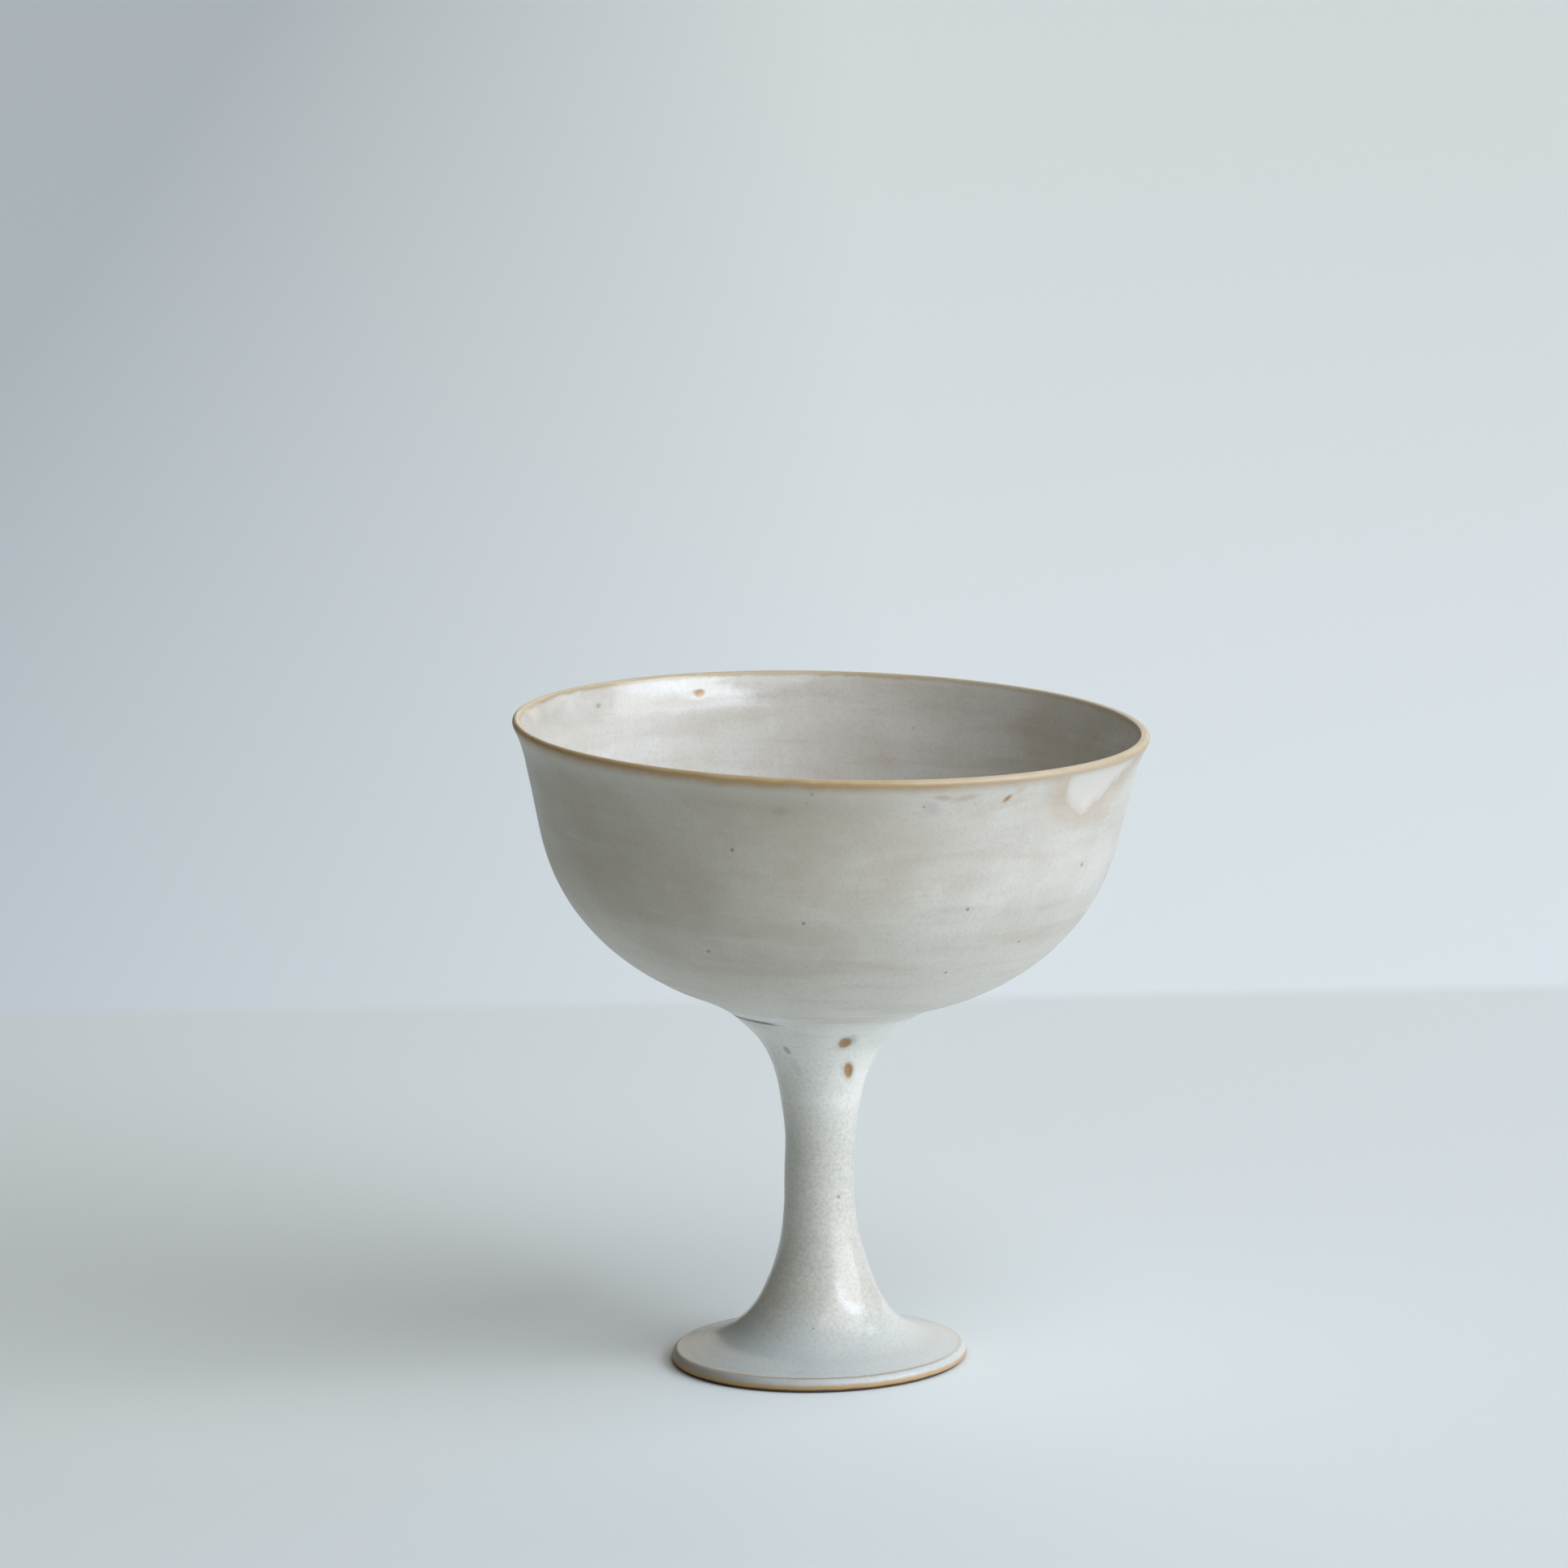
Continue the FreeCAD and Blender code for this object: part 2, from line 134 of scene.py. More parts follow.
STEM_ROWS = [
    (14.83, 0.14, 5.5, 0.5), (13.51, 0.20, 6.5, 0.7), (12.46, 0.27, 7.5, 0.9),
    (11.60, 0.33, 8.5, 1.0), (10.88, 0.37, 9.5, 1.1), (10.05, 0.42, 11, 1.2), (9.14, 0.49, 13, 1.2),
    (8.32, 0.55, 15, 1.2), (7.67, 0.58, 17, 1.2), (7.08, 0.57, 19, 1.2), (6.61, 0.55, 21, 1.2),
    (6.29, 0.52, 23, 1.2), (6.06, 0.50, 25, 1.2), (5.90, 0.49, 27, 1.2), (5.83, 0.48, 29, 1.2),
    (5.81, 0.50, 31, 1.2), (5.80, 0.56, 33, 1.2), (5.80, 0.67, 35, 1.2), (5.84, 0.78, 37, 1.2),
    (5.96, 0.88, 39, 1.2), (6.18, 0.94, 41, 1.2), (6.47, 1.00, 43, 1.2), (6.81, 1.06, 45, 1.2),
    (7.20, 1.15, 47, 1.2), (7.45, 1.20, 48, 1.2), (7.76, 1.26, 49, 1.2), (8.12, 1.33, 50, 1.2),
    (8.52, 1.38, 51, 1.25), (8.98, 1.43, 52, 1.3), (9.52, 1.49, 53, 1.4), (10.16, 1.54, 54, 1.5),
    (10.94, 1.60, 55, 1.65), (11.88, 1.64, 56, 1.8), (12.92, 1.65, 57, 1.95),
    (13.48, 1.65, 57.5, 2.03), (14.04, 1.65, 58, 2.1), (14.62, 1.65, 58.5, 2.18),
    (15.22, 1.66, 59, 2.25), (15.86, 1.67, 59.5, 2.33), (16.5, 1.68, 60, 2.4),
]
print("rows of foot and stem:", len(FOOT_ROWS), "+", len(STEM_ROWS))

# %% [markdown]
# The bowl's rows are given along its own leaning axis, from its underside. Arcs make them: a wide arc
# under the bowl, a tighter one round the belly, a straight wall, an outward flare and the half-round lip.
# The inside repeats the same arcs, set in by the thickness of the wall.

# %% Rows of the bowl: radius and height along its axis
BOWL_PLACE = (1.9, 60.6)
BOWL_LEAN = 2.45
UNDER_ROWS = [
    (17.35, -0.05), (18.35, 0.5), (19.42, 1.0), (20.65, 1.5), (22.1, 2.0), (24.9, 3.0), (27.2, 4.0),
]


def arc(middle, radius, first, last, rows):
    """Points on an arc, from one angle in degrees to another, both ends included."""
    turns = [math.radians(first + (last - first) * i / (rows - 1)) for i in range(rows)]
    return [(middle[0] + radius * math.cos(a), middle[1] + radius * math.sin(a)) for a in turns]


BELLY_MIDDLE = (15.12, 35.97)
FLARE_MIDDLE = (73.06, 35.49)
LIP_MIDDLE = (52.07, 46.63)
bowl_line = list(UNDER_ROWS)
bowl_line += arc((9.1, 42.4), 42.45, -59.5, -46.9, 4)
bowl_line += arc(BELLY_MIDDLE, 33.6, -42, -12.85, 7)
bowl_line += [(48.7, 32.2), (49.6, 36.2), (50.3, 39.1)]
bowl_line += arc(FLARE_MIDDLE, 23.0, 167, 154.5, 5)
bowl_line += arc(LIP_MIDDLE, 0.75, -28, 152, 7)
bowl_line += arc(FLARE_MIDDLE, 24.5, 154, 161.5, 4)
bowl_line += [(48.9, 40.4), (47.6, 36.6), (46.4, 33.0), (45.3, 29.7)]
bowl_line += arc(BELLY_MIDDLE, 30.6, -18.5, -46.9, 6)
bowl_line += arc((12.91, 38.34), 33.84, -52, -87, 7)
bowl_line += [(9.0, 4.5), (4.5, 4.5), (0, 4.5)]

lean = math.radians(BOWL_LEAN)
BOWL_ROWS = [
    (r, BOWL_PLACE[0] + h * math.sin(lean), BOWL_PLACE[1] + h * math.cos(lean), BOWL_LEAN)
    for r, h in bowl_line
]
ROWS = FOOT_ROWS + STEM_ROWS + BOWL_ROWS
print("rows of bowl:", len(BOWL_ROWS), "- lip crest", [round(v, 1) for v in max(ROWS, key=lambda q: q[2])])

# %% [markdown]
# What each row carries
#
# The glaze and the potter's fingers follow the profile: brown at the lip and at the foot's ridge, deeper
# rings on the foot and inside than on the stem. So each row also carries its distance along the profile
# from the lip's crest and from the foot's ridge, how deep the throwing rings run there, and how far the
# wall's inside may move where the lip is thicker on one side. That share grows as the line turns over the
# lip, and fades down the inside.

# %% Work out what the rows carry, in mm
RIDGE_PLACE = (23.55, 2.3)
LIP_TURN = 2.4
LIP_FADE = 22
steps = [0.0]
for one, two in zip(ROWS[:-1], ROWS[1:]):
    steps.append(steps[-1] + math.dist((one[0], one[2]), (two[0], two[2])))
crest = max(range(len(ROWS)), key=lambda i: ROWS[i][2])
ridge = min(range(len(FOOT_ROWS)), key=lambda i: math.dist(RIDGE_PLACE, (ROWS[i][0], ROWS[i][2])))
RING_DEPTHS = [(0, 0.0), (24, 0.02), (27.5, 0.03), (33, 0.11), (45, 0.07), (95, 0.05), (120, 0.05),
               (steps[crest] - 6, 0.03), (steps[crest], 0.012), (steps[crest] + 8, 0.05),
               (steps[crest] + 40, 0.10), (steps[-1], 0.05)]


def read_off(table, place):
    """The value of a table at a place between its rows."""
    for (a, low), (b, high) in zip(table[:-1], table[1:]):
        if a <= place <= b:
            return low + (high - low) * (place - a) / (b - a)
    return table[-1][1]


carried = {"lean": [], "lip_gap": [], "ridge_gap": [], "ring_depth": [], "lip_side": []}
for i, row in enumerate(ROWS):
    carried["lean"].append(math.radians(row[3]))
    carried["lip_gap"].append((steps[crest] - steps[i]) * MM)
    carried["ridge_gap"].append((steps[i] - steps[ridge]) * MM)
    carried["ring_depth"].append(read_off(RING_DEPTHS, steps[i]) * MM)
    past = steps[i] - steps[crest] + LIP_TURN / 2
    rise = min(max(past / LIP_TURN, 0), 1)
    fade = min(max(1 - (past - LIP_TURN) / LIP_FADE, 0), 1)
    carried["lip_side"].append(rise * fade)
print("profile %.0f mm long, crest at row %d, ridge at row %d" % (steps[-1], crest, ridge))

# %% [markdown]
# Marks in the clay
#
# Some marks are part of the form and not only of the colour. Pinholes opened under the bowl and inside
# it, where air came out of the clay while the glaze melted. Each mark is an egg-shaped patch that reaches
# well into the wall. One table gives the hollows to the form and the colours to the glaze, and both ask
# the same function how far a point is from a mark's middle, counted in the mark's own half sizes.

# %% Pinholes: place, half width and half height in mm, tilt in degrees, depth in mm, colour, strength
MARK_REACH = 3.0
PINHOLES = [
    ((5.2, -11.8, 56.3), (1.2, 1.02), 28, 0.28, "#a8845a", 1.0),
    ((5.7, -7.5, 50.5), (0.75, 1.7), 4, 0.28, "#a8865c", 1.0),
    ((-4.4, -8.9, 54.5), (0.5, 1.05), 32, 0.06, "#85755f", 0.5),
    ((-3.1, -7.7, 51.6), (0.7, 2.0), 24, 0.02, "#a8957c", 0.15),
    ((-18.4, 44.9, 105.7), (1.05, 0.72), 0, 0.15, "#a9824c", 0.95),
    ((-35.4, 31.1, 106.2), (0.38, 0.42), 0, 0.06, "#93897a", 0.6),
]


def off_mark(tree, here, middle, half, tilt):
    """How far a point is from a mark's middle; at the mark's edge it is 1."""
    middle = [c * MM for c in middle]
    reach = (half[0] * MM, MARK_REACH * MM, half[1] * MM)
    away = put(tree, "ShaderNodeVectorRotate", {"rotation_type": "Y_AXIS"},
               {"Vector": here, "Center": middle, "Angle": math.radians(tilt)}).outputs[0]
    away = put(tree, "ShaderNodeVectorMath", {"operation": "SUBTRACT"}, {0: away, 1: middle}).outputs[0]
    away = put(tree, "ShaderNodeVectorMath", {"operation": "DIVIDE"}, {0: away, 1: reach}).outputs[0]
    return put(tree, "ShaderNodeVectorMath", {"operation": "LENGTH"}, {0: away}).outputs["Value"]


print("pinholes:", len(PINHOLES))

# %% [markdown]
# The fold
#
# The potter joined the bowl to the stem while both were soft. On the left of the joint the clay of the
# bowl folds a little over the stem, and the fold's edge drops a little as it comes to the front. Its
# places are angles round the pot, in degrees from the right-hand side. Form and glaze share it too.

# %% Fold: angles in degrees, heights in mm
FOLD_RISES, FOLD_FALLS = (-162, -138), (-116, -92)
FOLD_DROP = (-150, -112)
FOLD_HEIGHTS = (60.92, 60.7)
FOLD_STEP = 0.55
FOLD_EDGE = (-0.5, 0.1)
FOLD_SPREAD = (0.3, 3.2)


def above_fold(tree, angle, height):
    """How far a point lies above the fold's edge."""
    edge = put(tree, "ShaderNodeMapRange", SMOOTH,
               {"Value": angle, "From Min": FOLD_DROP[0], "From Max": FOLD_DROP[1],
                "To Min": FOLD_HEIGHTS[0] * MM, "To Max": FOLD_HEIGHTS[1] * MM}).outputs[0]
    return put(tree, "ShaderNodeMath", {"operation": "SUBTRACT"}, {0: height, 1: edge}).outputs[0]


def kept_between(tree, angle, amount, rises, falls):
    """An amount that comes and goes softly round the pot: it rises over one span and falls over another."""
    for (first, last), (before, after) in ((rises, (0.0, 1.0)), (falls, (1.0, 0.0))):
        share = put(tree, "ShaderNodeMapRange", SMOOTH,
                    {"Value": angle, "From Min": first, "From Max": last,
                     "To Min": before, "To Max": after}).outputs[0]
        amount = put(tree, "ShaderNodeMath", {"operation": "MULTIPLY"}, {0: amount, 1: share}).outputs[0]
    return amount


print("fold runs over %d degrees" % (FOLD_FALLS[1] - FOLD_RISES[0]))

# %% [markdown]
# Throwing the form
#
# A Spin or Screw modifier turns an outline round one straight axis. Here the axis bends and the rings
# lean, so a Geometry Nodes tree does the turning: it takes the profile line, smooths it, lays a grid with
# one column for each step round the wheel and one row for each point of the profile, and moves every grid
# point to its ring. Then it adds what the hands leave: broad unevenness, throwing rings, a lip that is
# thicker on one side, the pits and the fold.

# %% Geometry Nodes tree that throws the goblet
throwing = bpy.data.node_groups.new("throwing", "GeometryNodeTree")
door = throwing.interface
for kind, names in (
    ("Geometry", ["Profile"]), ("Int", ["Columns", "Smoothing"]),
    ("Float", ["Ring spacing", "Unevenness", "Unevenness size", "Lip difference", "Seed"]),
    ("Material", ["Glaze"]),
):
    for name in names:
        door.new_socket(name=name, in_out="INPUT", socket_type="NodeSocket" + kind)
door.new_socket(name="Goblet", in_out="OUTPUT", socket_type="NodeSocketGeometry")
given = put(throwing, "NodeGroupInput").outputs

# the profile line as a smooth curve, with points at even steps between its rows
line = put(throwing, "GeometryNodeMeshToCurve", {}, {"Mesh": given["Profile"]}).outputs[0]
line = put(throwing, "GeometryNodeCurveSplineType", {"spline_type": "CATMULL_ROM"},
           {"Curve": line}).outputs[0]
line = put(throwing, "GeometryNodeSetSplineResolution", {},
           {"Geometry": line, "Resolution": given["Smoothing"]}).outputs[0]
line = put(throwing, "GeometryNodeResampleCurve", {"mode": "EVALUATED"}, {"Curve": line}).outputs[0]
ring_count = put(throwing, "GeometryNodeAttributeDomainSize", {"component": "CURVE"},
                 {"Geometry": line}).outputs["Point Count"]

# a grid with a column for each step of the wheel and a last one on the first, welded below
columns = put(throwing, "ShaderNodeMath", {"operation": "ADD"}, {0: given["Columns"], 1: 1.0}).outputs[0]
grid = put(throwing, "GeometryNodeMeshGrid", {},
           {"Size X": 1.0, "Size Y": 1.0, "Vertices X": columns, "Vertices Y": ring_count})
flat = put(throwing, "ShaderNodeSeparateXYZ", {}, {0: put(throwing, "GeometryNodeInputPosition").outputs[0]})
across = put(throwing, "ShaderNodeMath", {"operation": "ADD"}, {0: flat.outputs["X"], 1: 0.5}).outputs[0]
along = put(throwing, "ShaderNodeMath", {"operation": "ADD"}, {0: flat.outputs["Y"], 1: 0.5}).outputs[0]
gaps = put(throwing, "ShaderNodeMath", {"operation": "SUBTRACT"}, {0: ring_count, 1: 1.0}).outputs[0]
row = put(throwing, "ShaderNodeMath", {"operation": "MULTIPLY"}, {0: along, 1: gaps}).outputs[0]
row = put(throwing, "ShaderNodeMath", {"operation": "ROUND"}, {0: row}).outputs[0]

# what the row's ring is like
read = {}
for name in ["position"] + list(carried):
    kind = "FLOAT_VECTOR" if name == "position" else "FLOAT"
    field = put(throwing, "GeometryNodeInputNamedAttribute", {"data_type": kind}, {"Name": name}).outputs[0]
    read[name] = put(throwing, "GeometryNodeSampleIndex", {"data_type": kind, "domain": "POINT"},
                     {"Geometry": line, "Value": field, "Index": row}).outputs[0]
ring = put(throwing, "ShaderNodeSeparateXYZ", {}, {0: read["position"]}).outputs

# round the ring: sideways by the cosine, in depth by the sine, and down on the side it leans to
turn = put(throwing, "ShaderNodeMath", {"operation": "MULTIPLY"}, {0: across, 1: 2 * math.pi}).outputs[0]
side = put(throwing, "ShaderNodeMath", {"operation": "COSINE"}, {0: turn}).outputs[0]
depth = put(throwing, "ShaderNodeMath", {"operation": "SINE"}, {0: turn}).outputs[0]
thinner = put(throwing, "ShaderNodeMath", {"operation": "MULTIPLY"},
              {0: read["lip_side"], 1: side}).outputs[0]
thinner = put(throwing, "ShaderNodeMath", {"operation": "MULTIPLY"},
              {0: thinner, 1: given["Lip difference"]}).outputs[0]
radius = put(throwing, "ShaderNodeMath", {"operation": "SUBTRACT"}, {0: ring["X"], 1: thinner}).outputs[0]
reach = put(throwing, "ShaderNodeMath", {"operation": "MULTIPLY"}, {0: radius, 1: side}).outputs[0]
level = put(throwing, "ShaderNodeMath", {"operation": "COSINE"}, {0: read["lean"]}).outputs[0]
droop = put(throwing, "ShaderNodeMath", {"operation": "SINE"}, {0: read["lean"]}).outputs[0]
new_x = put(throwing, "ShaderNodeMath", {"operation": "MULTIPLY_ADD"},
            {0: reach, 1: level, 2: ring["Y"]}).outputs[0]
new_y = put(throwing, "ShaderNodeMath", {"operation": "MULTIPLY"}, {0: radius, 1: depth}).outputs[0]
drop = put(throwing, "ShaderNodeMath", {"operation": "MULTIPLY"}, {0: reach, 1: droop}).outputs[0]
new_z = put(throwing, "ShaderNodeMath", {"operation": "SUBTRACT"}, {0: ring["Z"], 1: drop}).outputs[0]
new_z = put(throwing, "ShaderNodeMath", {"operation": "MAXIMUM"}, {0: new_z, 1: 0.0}).outputs[0]
on_ring = put(throwing, "ShaderNodeCombineXYZ", {}, {0: new_x, 1: new_y, 2: new_z}).outputs[0]

# the carried values stay on the mesh for the glaze, and are read before the grid is moved
body = grid.outputs["Mesh"]
for name in ("lip_gap", "ridge_gap", "ring_depth"):
    body = put(throwing, "GeometryNodeStoreNamedAttribute", {"data_type": "FLOAT", "domain": "POINT"},
               {"Geometry": body, "Name": name, "Value": read[name]}).outputs[0]
body = put(throwing, "GeometryNodeSetPosition", {}, {"Geometry": body, "Position": on_ring}).outputs[0]
WELD = 0.004 * MM
body = put(throwing, "GeometryNodeMergeByDistance", {}, {"Geometry": body, "Distance": WELD}).outputs[0]
print("turning part of the tree:", len(throwing.nodes), "nodes")

# %% [markdown]
# What the hands leave
#
# Every relief is one height in metres, added along the surface's own normal. The broad unevenness is a
# soft noise as wide as a palm. The throwing rings are noise stretched into bands: its first coordinate
# runs along the profile and its other two hardly change round the pot. A pit is a smooth hollow round its
# place, and the fold is a step that dies away above its edge and toward both of its ends.

# %% Relief of the tree
RING_DRIFT = 14.0
PIT_EDGE = (0.3, 1.25)
here = put(throwing, "GeometryNodeInputPosition").outputs[0]
stored = {}
for name in ("lip_gap", "ridge_gap", "ring_depth"):
    stored[name] = put(throwing, "GeometryNodeInputNamedAttribute", {"data_type": "FLOAT"},
                       {"Name": name}).outputs[0]
palm = put(throwing, "ShaderNodeTexNoise", {"noise_dimensions": "4D"},
           {"Vector": here, "W": given["Seed"], "Scale": given["Unevenness size"], "Detail": 1.0}).outputs[0]
palm = put(throwing, "ShaderNodeMath", {"operation": "SUBTRACT"}, {0: palm, 1: 0.5}).outputs[0]
relief = put(throwing, "ShaderNodeMath", {"operation": "MULTIPLY"},
             {0: palm, 1: given["Unevenness"]}).outputs[0]

swing = put(throwing, "ShaderNodeVectorMath", {"operation": "SCALE"}, {0: here, "Scale": RING_DRIFT})
swing = put(throwing, "ShaderNodeSeparateXYZ", {}, {0: swing.outputs[0]}).outputs
pace = put(throwing, "ShaderNodeMath", {"operation": "DIVIDE"},
           {0: stored["ridge_gap"], 1: given["Ring spacing"]}).outputs[0]
rings = put(throwing, "ShaderNodeCombineXYZ", {}, {0: pace, 1: swing["X"], 2: swing["Y"]}).outputs[0]
rings = put(throwing, "ShaderNodeTexNoise", {"noise_dimensions": "4D"},
            {"Vector": rings, "W": given["Seed"], "Scale": 1.0, "Detail": 2.0}).outputs[0]
rings = put(throwing, "ShaderNodeMath", {"operation": "SUBTRACT"}, {0: rings, 1: 0.5}).outputs[0]
rings = put(throwing, "ShaderNodeMath", {"operation": "MULTIPLY"},
            {0: rings, 1: stored["ring_depth"]}).outputs[0]
# a noise swings by a half each way, so doubling it gives the rings their full depth
relief = put(throwing, "ShaderNodeMath", {"operation": "MULTIPLY_ADD"},
             {0: rings, 1: 2.0, 2: relief}).outputs[0]

# the marks beyond the middle are the ones seen on the inside, and they don't come through the wall
inside_wall = put(throwing, "ShaderNodeMath", {"operation": "LESS_THAN"},
                  {0: stored["lip_gap"], 1: 0.0}).outputs[0]
for middle, half, tilt, hollow, tint, strength in PINHOLES:
    away = off_mark(throwing, here, middle, half, tilt)
    dip = put(throwing, "ShaderNodeMapRange", SMOOTH,
              {"Value": away, "From Min": PIT_EDGE[0], "From Max": PIT_EDGE[1],
               "To Min": -hollow * MM, "To Max": 0.0}).outputs[0]
    if middle[1] > 0:
        dip = put(throwing, "ShaderNodeMath", {"operation": "MULTIPLY"}, {0: dip, 1: inside_wall}).outputs[0]
    relief = put(throwing, "ShaderNodeMath", {"operation": "ADD"}, {0: relief, 1: dip}).outputs[0]

axes = put(throwing, "ShaderNodeSeparateXYZ", {}, {0: here}).outputs
angle = put(throwing, "ShaderNodeMath", {"operation": "ARCTAN2"}, {0: axes["Y"], 1: axes["X"]}).outputs[0]
angle = put(throwing, "ShaderNodeMath", {"operation": "DEGREES"}, {0: angle}).outputs[0]
over = above_fold(throwing, angle, axes["Z"])
step_up = put(throwing, "ShaderNodeMapRange", SMOOTH,
              {"Value": over, "From Min": FOLD_EDGE[0] * MM, "From Max": FOLD_EDGE[1] * MM}).outputs[0]
dying = put(throwing, "ShaderNodeMapRange", SMOOTH,
            {"Value": over, "From Min": FOLD_SPREAD[0] * MM, "From Max": FOLD_SPREAD[1] * MM,
             "To Min": 1.0, "To Max": 0.0}).outputs[0]
dying = kept_between(throwing, angle, dying, FOLD_RISES, FOLD_FALLS)
step_up = put(throwing, "ShaderNodeMath", {"operation": "MULTIPLY"}, {0: step_up, 1: dying}).outputs[0]
relief = put(throwing, "ShaderNodeMath", {"operation": "MULTIPLY_ADD"},
             {0: step_up, 1: FOLD_STEP * MM, 2: relief}).outputs[0]

# the foot ring stays flat on the table and the lip keeps its measured line: relief starts at the first
# distance from them, in mm, and is full at the second
facing = put(throwing, "GeometryNodeInputNormal").outputs[0]
push = put(throwing, "ShaderNodeVectorMath", {"operation": "SCALE"}, {0: facing, "Scale": relief}).outputs[0]
off_lip = put(throwing, "ShaderNodeMath", {"operation": "ABSOLUTE"}, {0: stored["lip_gap"]}).outputs[0]
for distance, none, full in ((axes["Z"], 0.3, 2.0), (off_lip, 1.0, 6.0)):
    free = put(throwing, "ShaderNodeMapRange", SMOOTH,
               {"Value": distance, "From Min": none * MM, "From Max": full * MM}).outputs[0]
    push = put(throwing, "ShaderNodeVectorMath", {"operation": "SCALE"}, {0: push, "Scale": free}).outputs[0]
body = put(throwing, "GeometryNodeSetPosition", {}, {"Geometry": body, "Offset": push}).outputs[0]
body = put(throwing, "GeometryNodeSetShadeSmooth", {}, {"Geometry": body}).outputs[0]
body = put(throwing, "GeometryNodeRealizeInstances", {}, {"Geometry": body}).outputs[0]
body = put(throwing, "GeometryNodeSetMaterial", {}, {"Geometry": body, "Material": given["Glaze"]}).outputs[0]
put(throwing, "NodeGroupOutput", {}, {"Goblet": body})
print("whole tree:", len(throwing.nodes), "nodes")

# %% [markdown]
# The glaze
#
# The real surface is glazed stoneware: a pale feldspar glaze dipped over a buff clay and fired until it is
# satin, not glassy. Highlights are soft and there is no mirror image. The colour is built in the order in
# which the kiln makes it: first how thick the glaze lies, then the clay that shows through it, then the
# places where it has run off an edge, and last the single marks.
#
# The patterns read Object coordinates, which stay with the clay from every side, and the distances along
# the profile that the form carries.

# %% Start the glaze: coordinates and distances
glaze = bpy.data.materials.new("glazed_stoneware")
glaze.use_nodes = True
recipe = glaze.node_tree
recipe.nodes.clear()
where = put(recipe, "ShaderNodeTexCoord").outputs["Object"]
place = put(recipe, "ShaderNodeSeparateXYZ", {}, {0: where}).outputs
lip_gap = put(recipe, "ShaderNodeAttribute", {"attribute_name": "lip_gap"}).outputs["Fac"]
ridge_gap = put(recipe, "ShaderNodeAttribute", {"attribute_name": "ridge_gap"}).outputs["Fac"]
turn = put(recipe, "ShaderNodeMath", {"operation": "ARCTAN2"}, {0: place["Y"], 1: place["X"]}).outputs[0]
inside = put(recipe, "ShaderNodeMath", {"operation": "LESS_THAN"}, {0: lip_gap, 1: 0.0}).outputs[0]
outside = put(recipe, "ShaderNodeMath", {"operation": "GREATER_THAN"}, {0: lip_gap, 1: 0.0}).outputs[0]
print("glaze reads object coordinates and", ["lip_gap", "ridge_gap"])

# %% [markdown]
# Four noises give all the unevenness. Clouds are patches as wide as a thumb, where the dip was slower.
# Streaks follow the throwing rings, so their pattern runs along the profile and is drawn out round the
# pot. Grain is the sandy speckle of the clay under the glaze, about half a millimetre. Ragged is what
# makes every edge of the glaze uneven, and uneven is the same noise, swinging round nought.

# %% Noises of the glaze, sizes in mm
CLOUD_SIZE = 20.0
GRAIN_SIZE = 0.6
RAGGED_SIZE = 4.0
STREAK_HEIGHT = 3.4
STREAK_LENGTH = 26.0
clouds, grain, ragged = [
    put(recipe, "ShaderNodeTexNoise", {},
        {"Vector": where, "Scale": 1 / (size * MM), "Detail": detail, "Roughness": roughness}).outputs[0]
    for size, detail, roughness in ((CLOUD_SIZE, 4.0, 0.6), (GRAIN_SIZE, 3.0, 0.7), (RAGGED_SIZE, 3.0, 0.6))
]
uneven = put(recipe, "ShaderNodeMath", {"operation": "SUBTRACT"}, {0: ragged, 1: 0.5}).outputs[0]
pace = put(recipe, "ShaderNodeMath", {"operation": "DIVIDE"},
           {0: ridge_gap, 1: STREAK_HEIGHT * MM}).outputs[0]
drawn = put(recipe, "ShaderNodeVectorMath", {"operation": "SCALE"},
            {0: where, "Scale": 1 / (STREAK_LENGTH * MM)}).outputs[0]
drawn = put(recipe, "ShaderNodeSeparateXYZ", {}, {0: drawn}).outputs
drawn = put(recipe, "ShaderNodeCombineXYZ", {}, {0: pace, 1: drawn["X"], 2: drawn["Y"]}).outputs[0]
streaks = put(recipe, "ShaderNodeTexNoise", {},
              {"Vector": drawn, "Scale": 1.0, "Detail": 2.0, "Roughness": 0.55, "Distortion": 0.6}).outputs[0]
print("noises: clouds %.0f mm, grain %.1f mm, streaks %.1f mm high" % (CLOUD_SIZE, GRAIN_SIZE, STREAK_HEIGHT))

# %% [markdown]
# Thick and thin
#
# On the bowl the glaze is thin and takes the warmth of the clay, more on the left than on the right, where it
# ran. It gathered at the joint, so the stem and the foot are whiter, and the bowl's underside is painted
# lighter toward the bottom: partly that gathered glaze, partly painted light from the pale table below. From
# the middle of the stem down it thinned again and is mottled buff. The foot is painted darker on its left, as
# painted shade from the bowl and the stem above it. The change at the joint is quick and a little ragged.
#
# Most layers of colour are laid in the same way: a tint that isn't there at one value of a measure, and is
# fully there at another. One function lays them, and can keep a layer to a part of the goblet.

# %% Base colours by thickness, places in mm
TONES = {
    "left thin": "#b4ad9e", "left thick": "#c3bfb2", "right thin": "#bfbbb1", "right thick": "#cecdc6",
    "inside thin": "#bebbb2", "inside thick": "#cccdc8", "underside": "#e1ddd4", "joint": "#e8e9e3",
    # the foot's darker left tone is painted shade from the bowl and the stem above it
    "stem buff": "#c0c0b7", "foot thin": "#a3adb0", "foot": "#bdc6c7", "clay": "#b3966c",
}
# spans in mm from left to right: the bowl's tone, and on the foot its painted shade on the left
LEFT_TO_RIGHT = {"bowl": (-5.0, 30.0), "foot": (-24.0, 2.0)}
RAGGED_RISE = 4.0
MOTTLED_RISE = 14.0
GATHERS = (63.5, 60.0)
TURNS_BUFF = (58.0, 42.0)
TURNS_GREY = (20.0, 10.0)


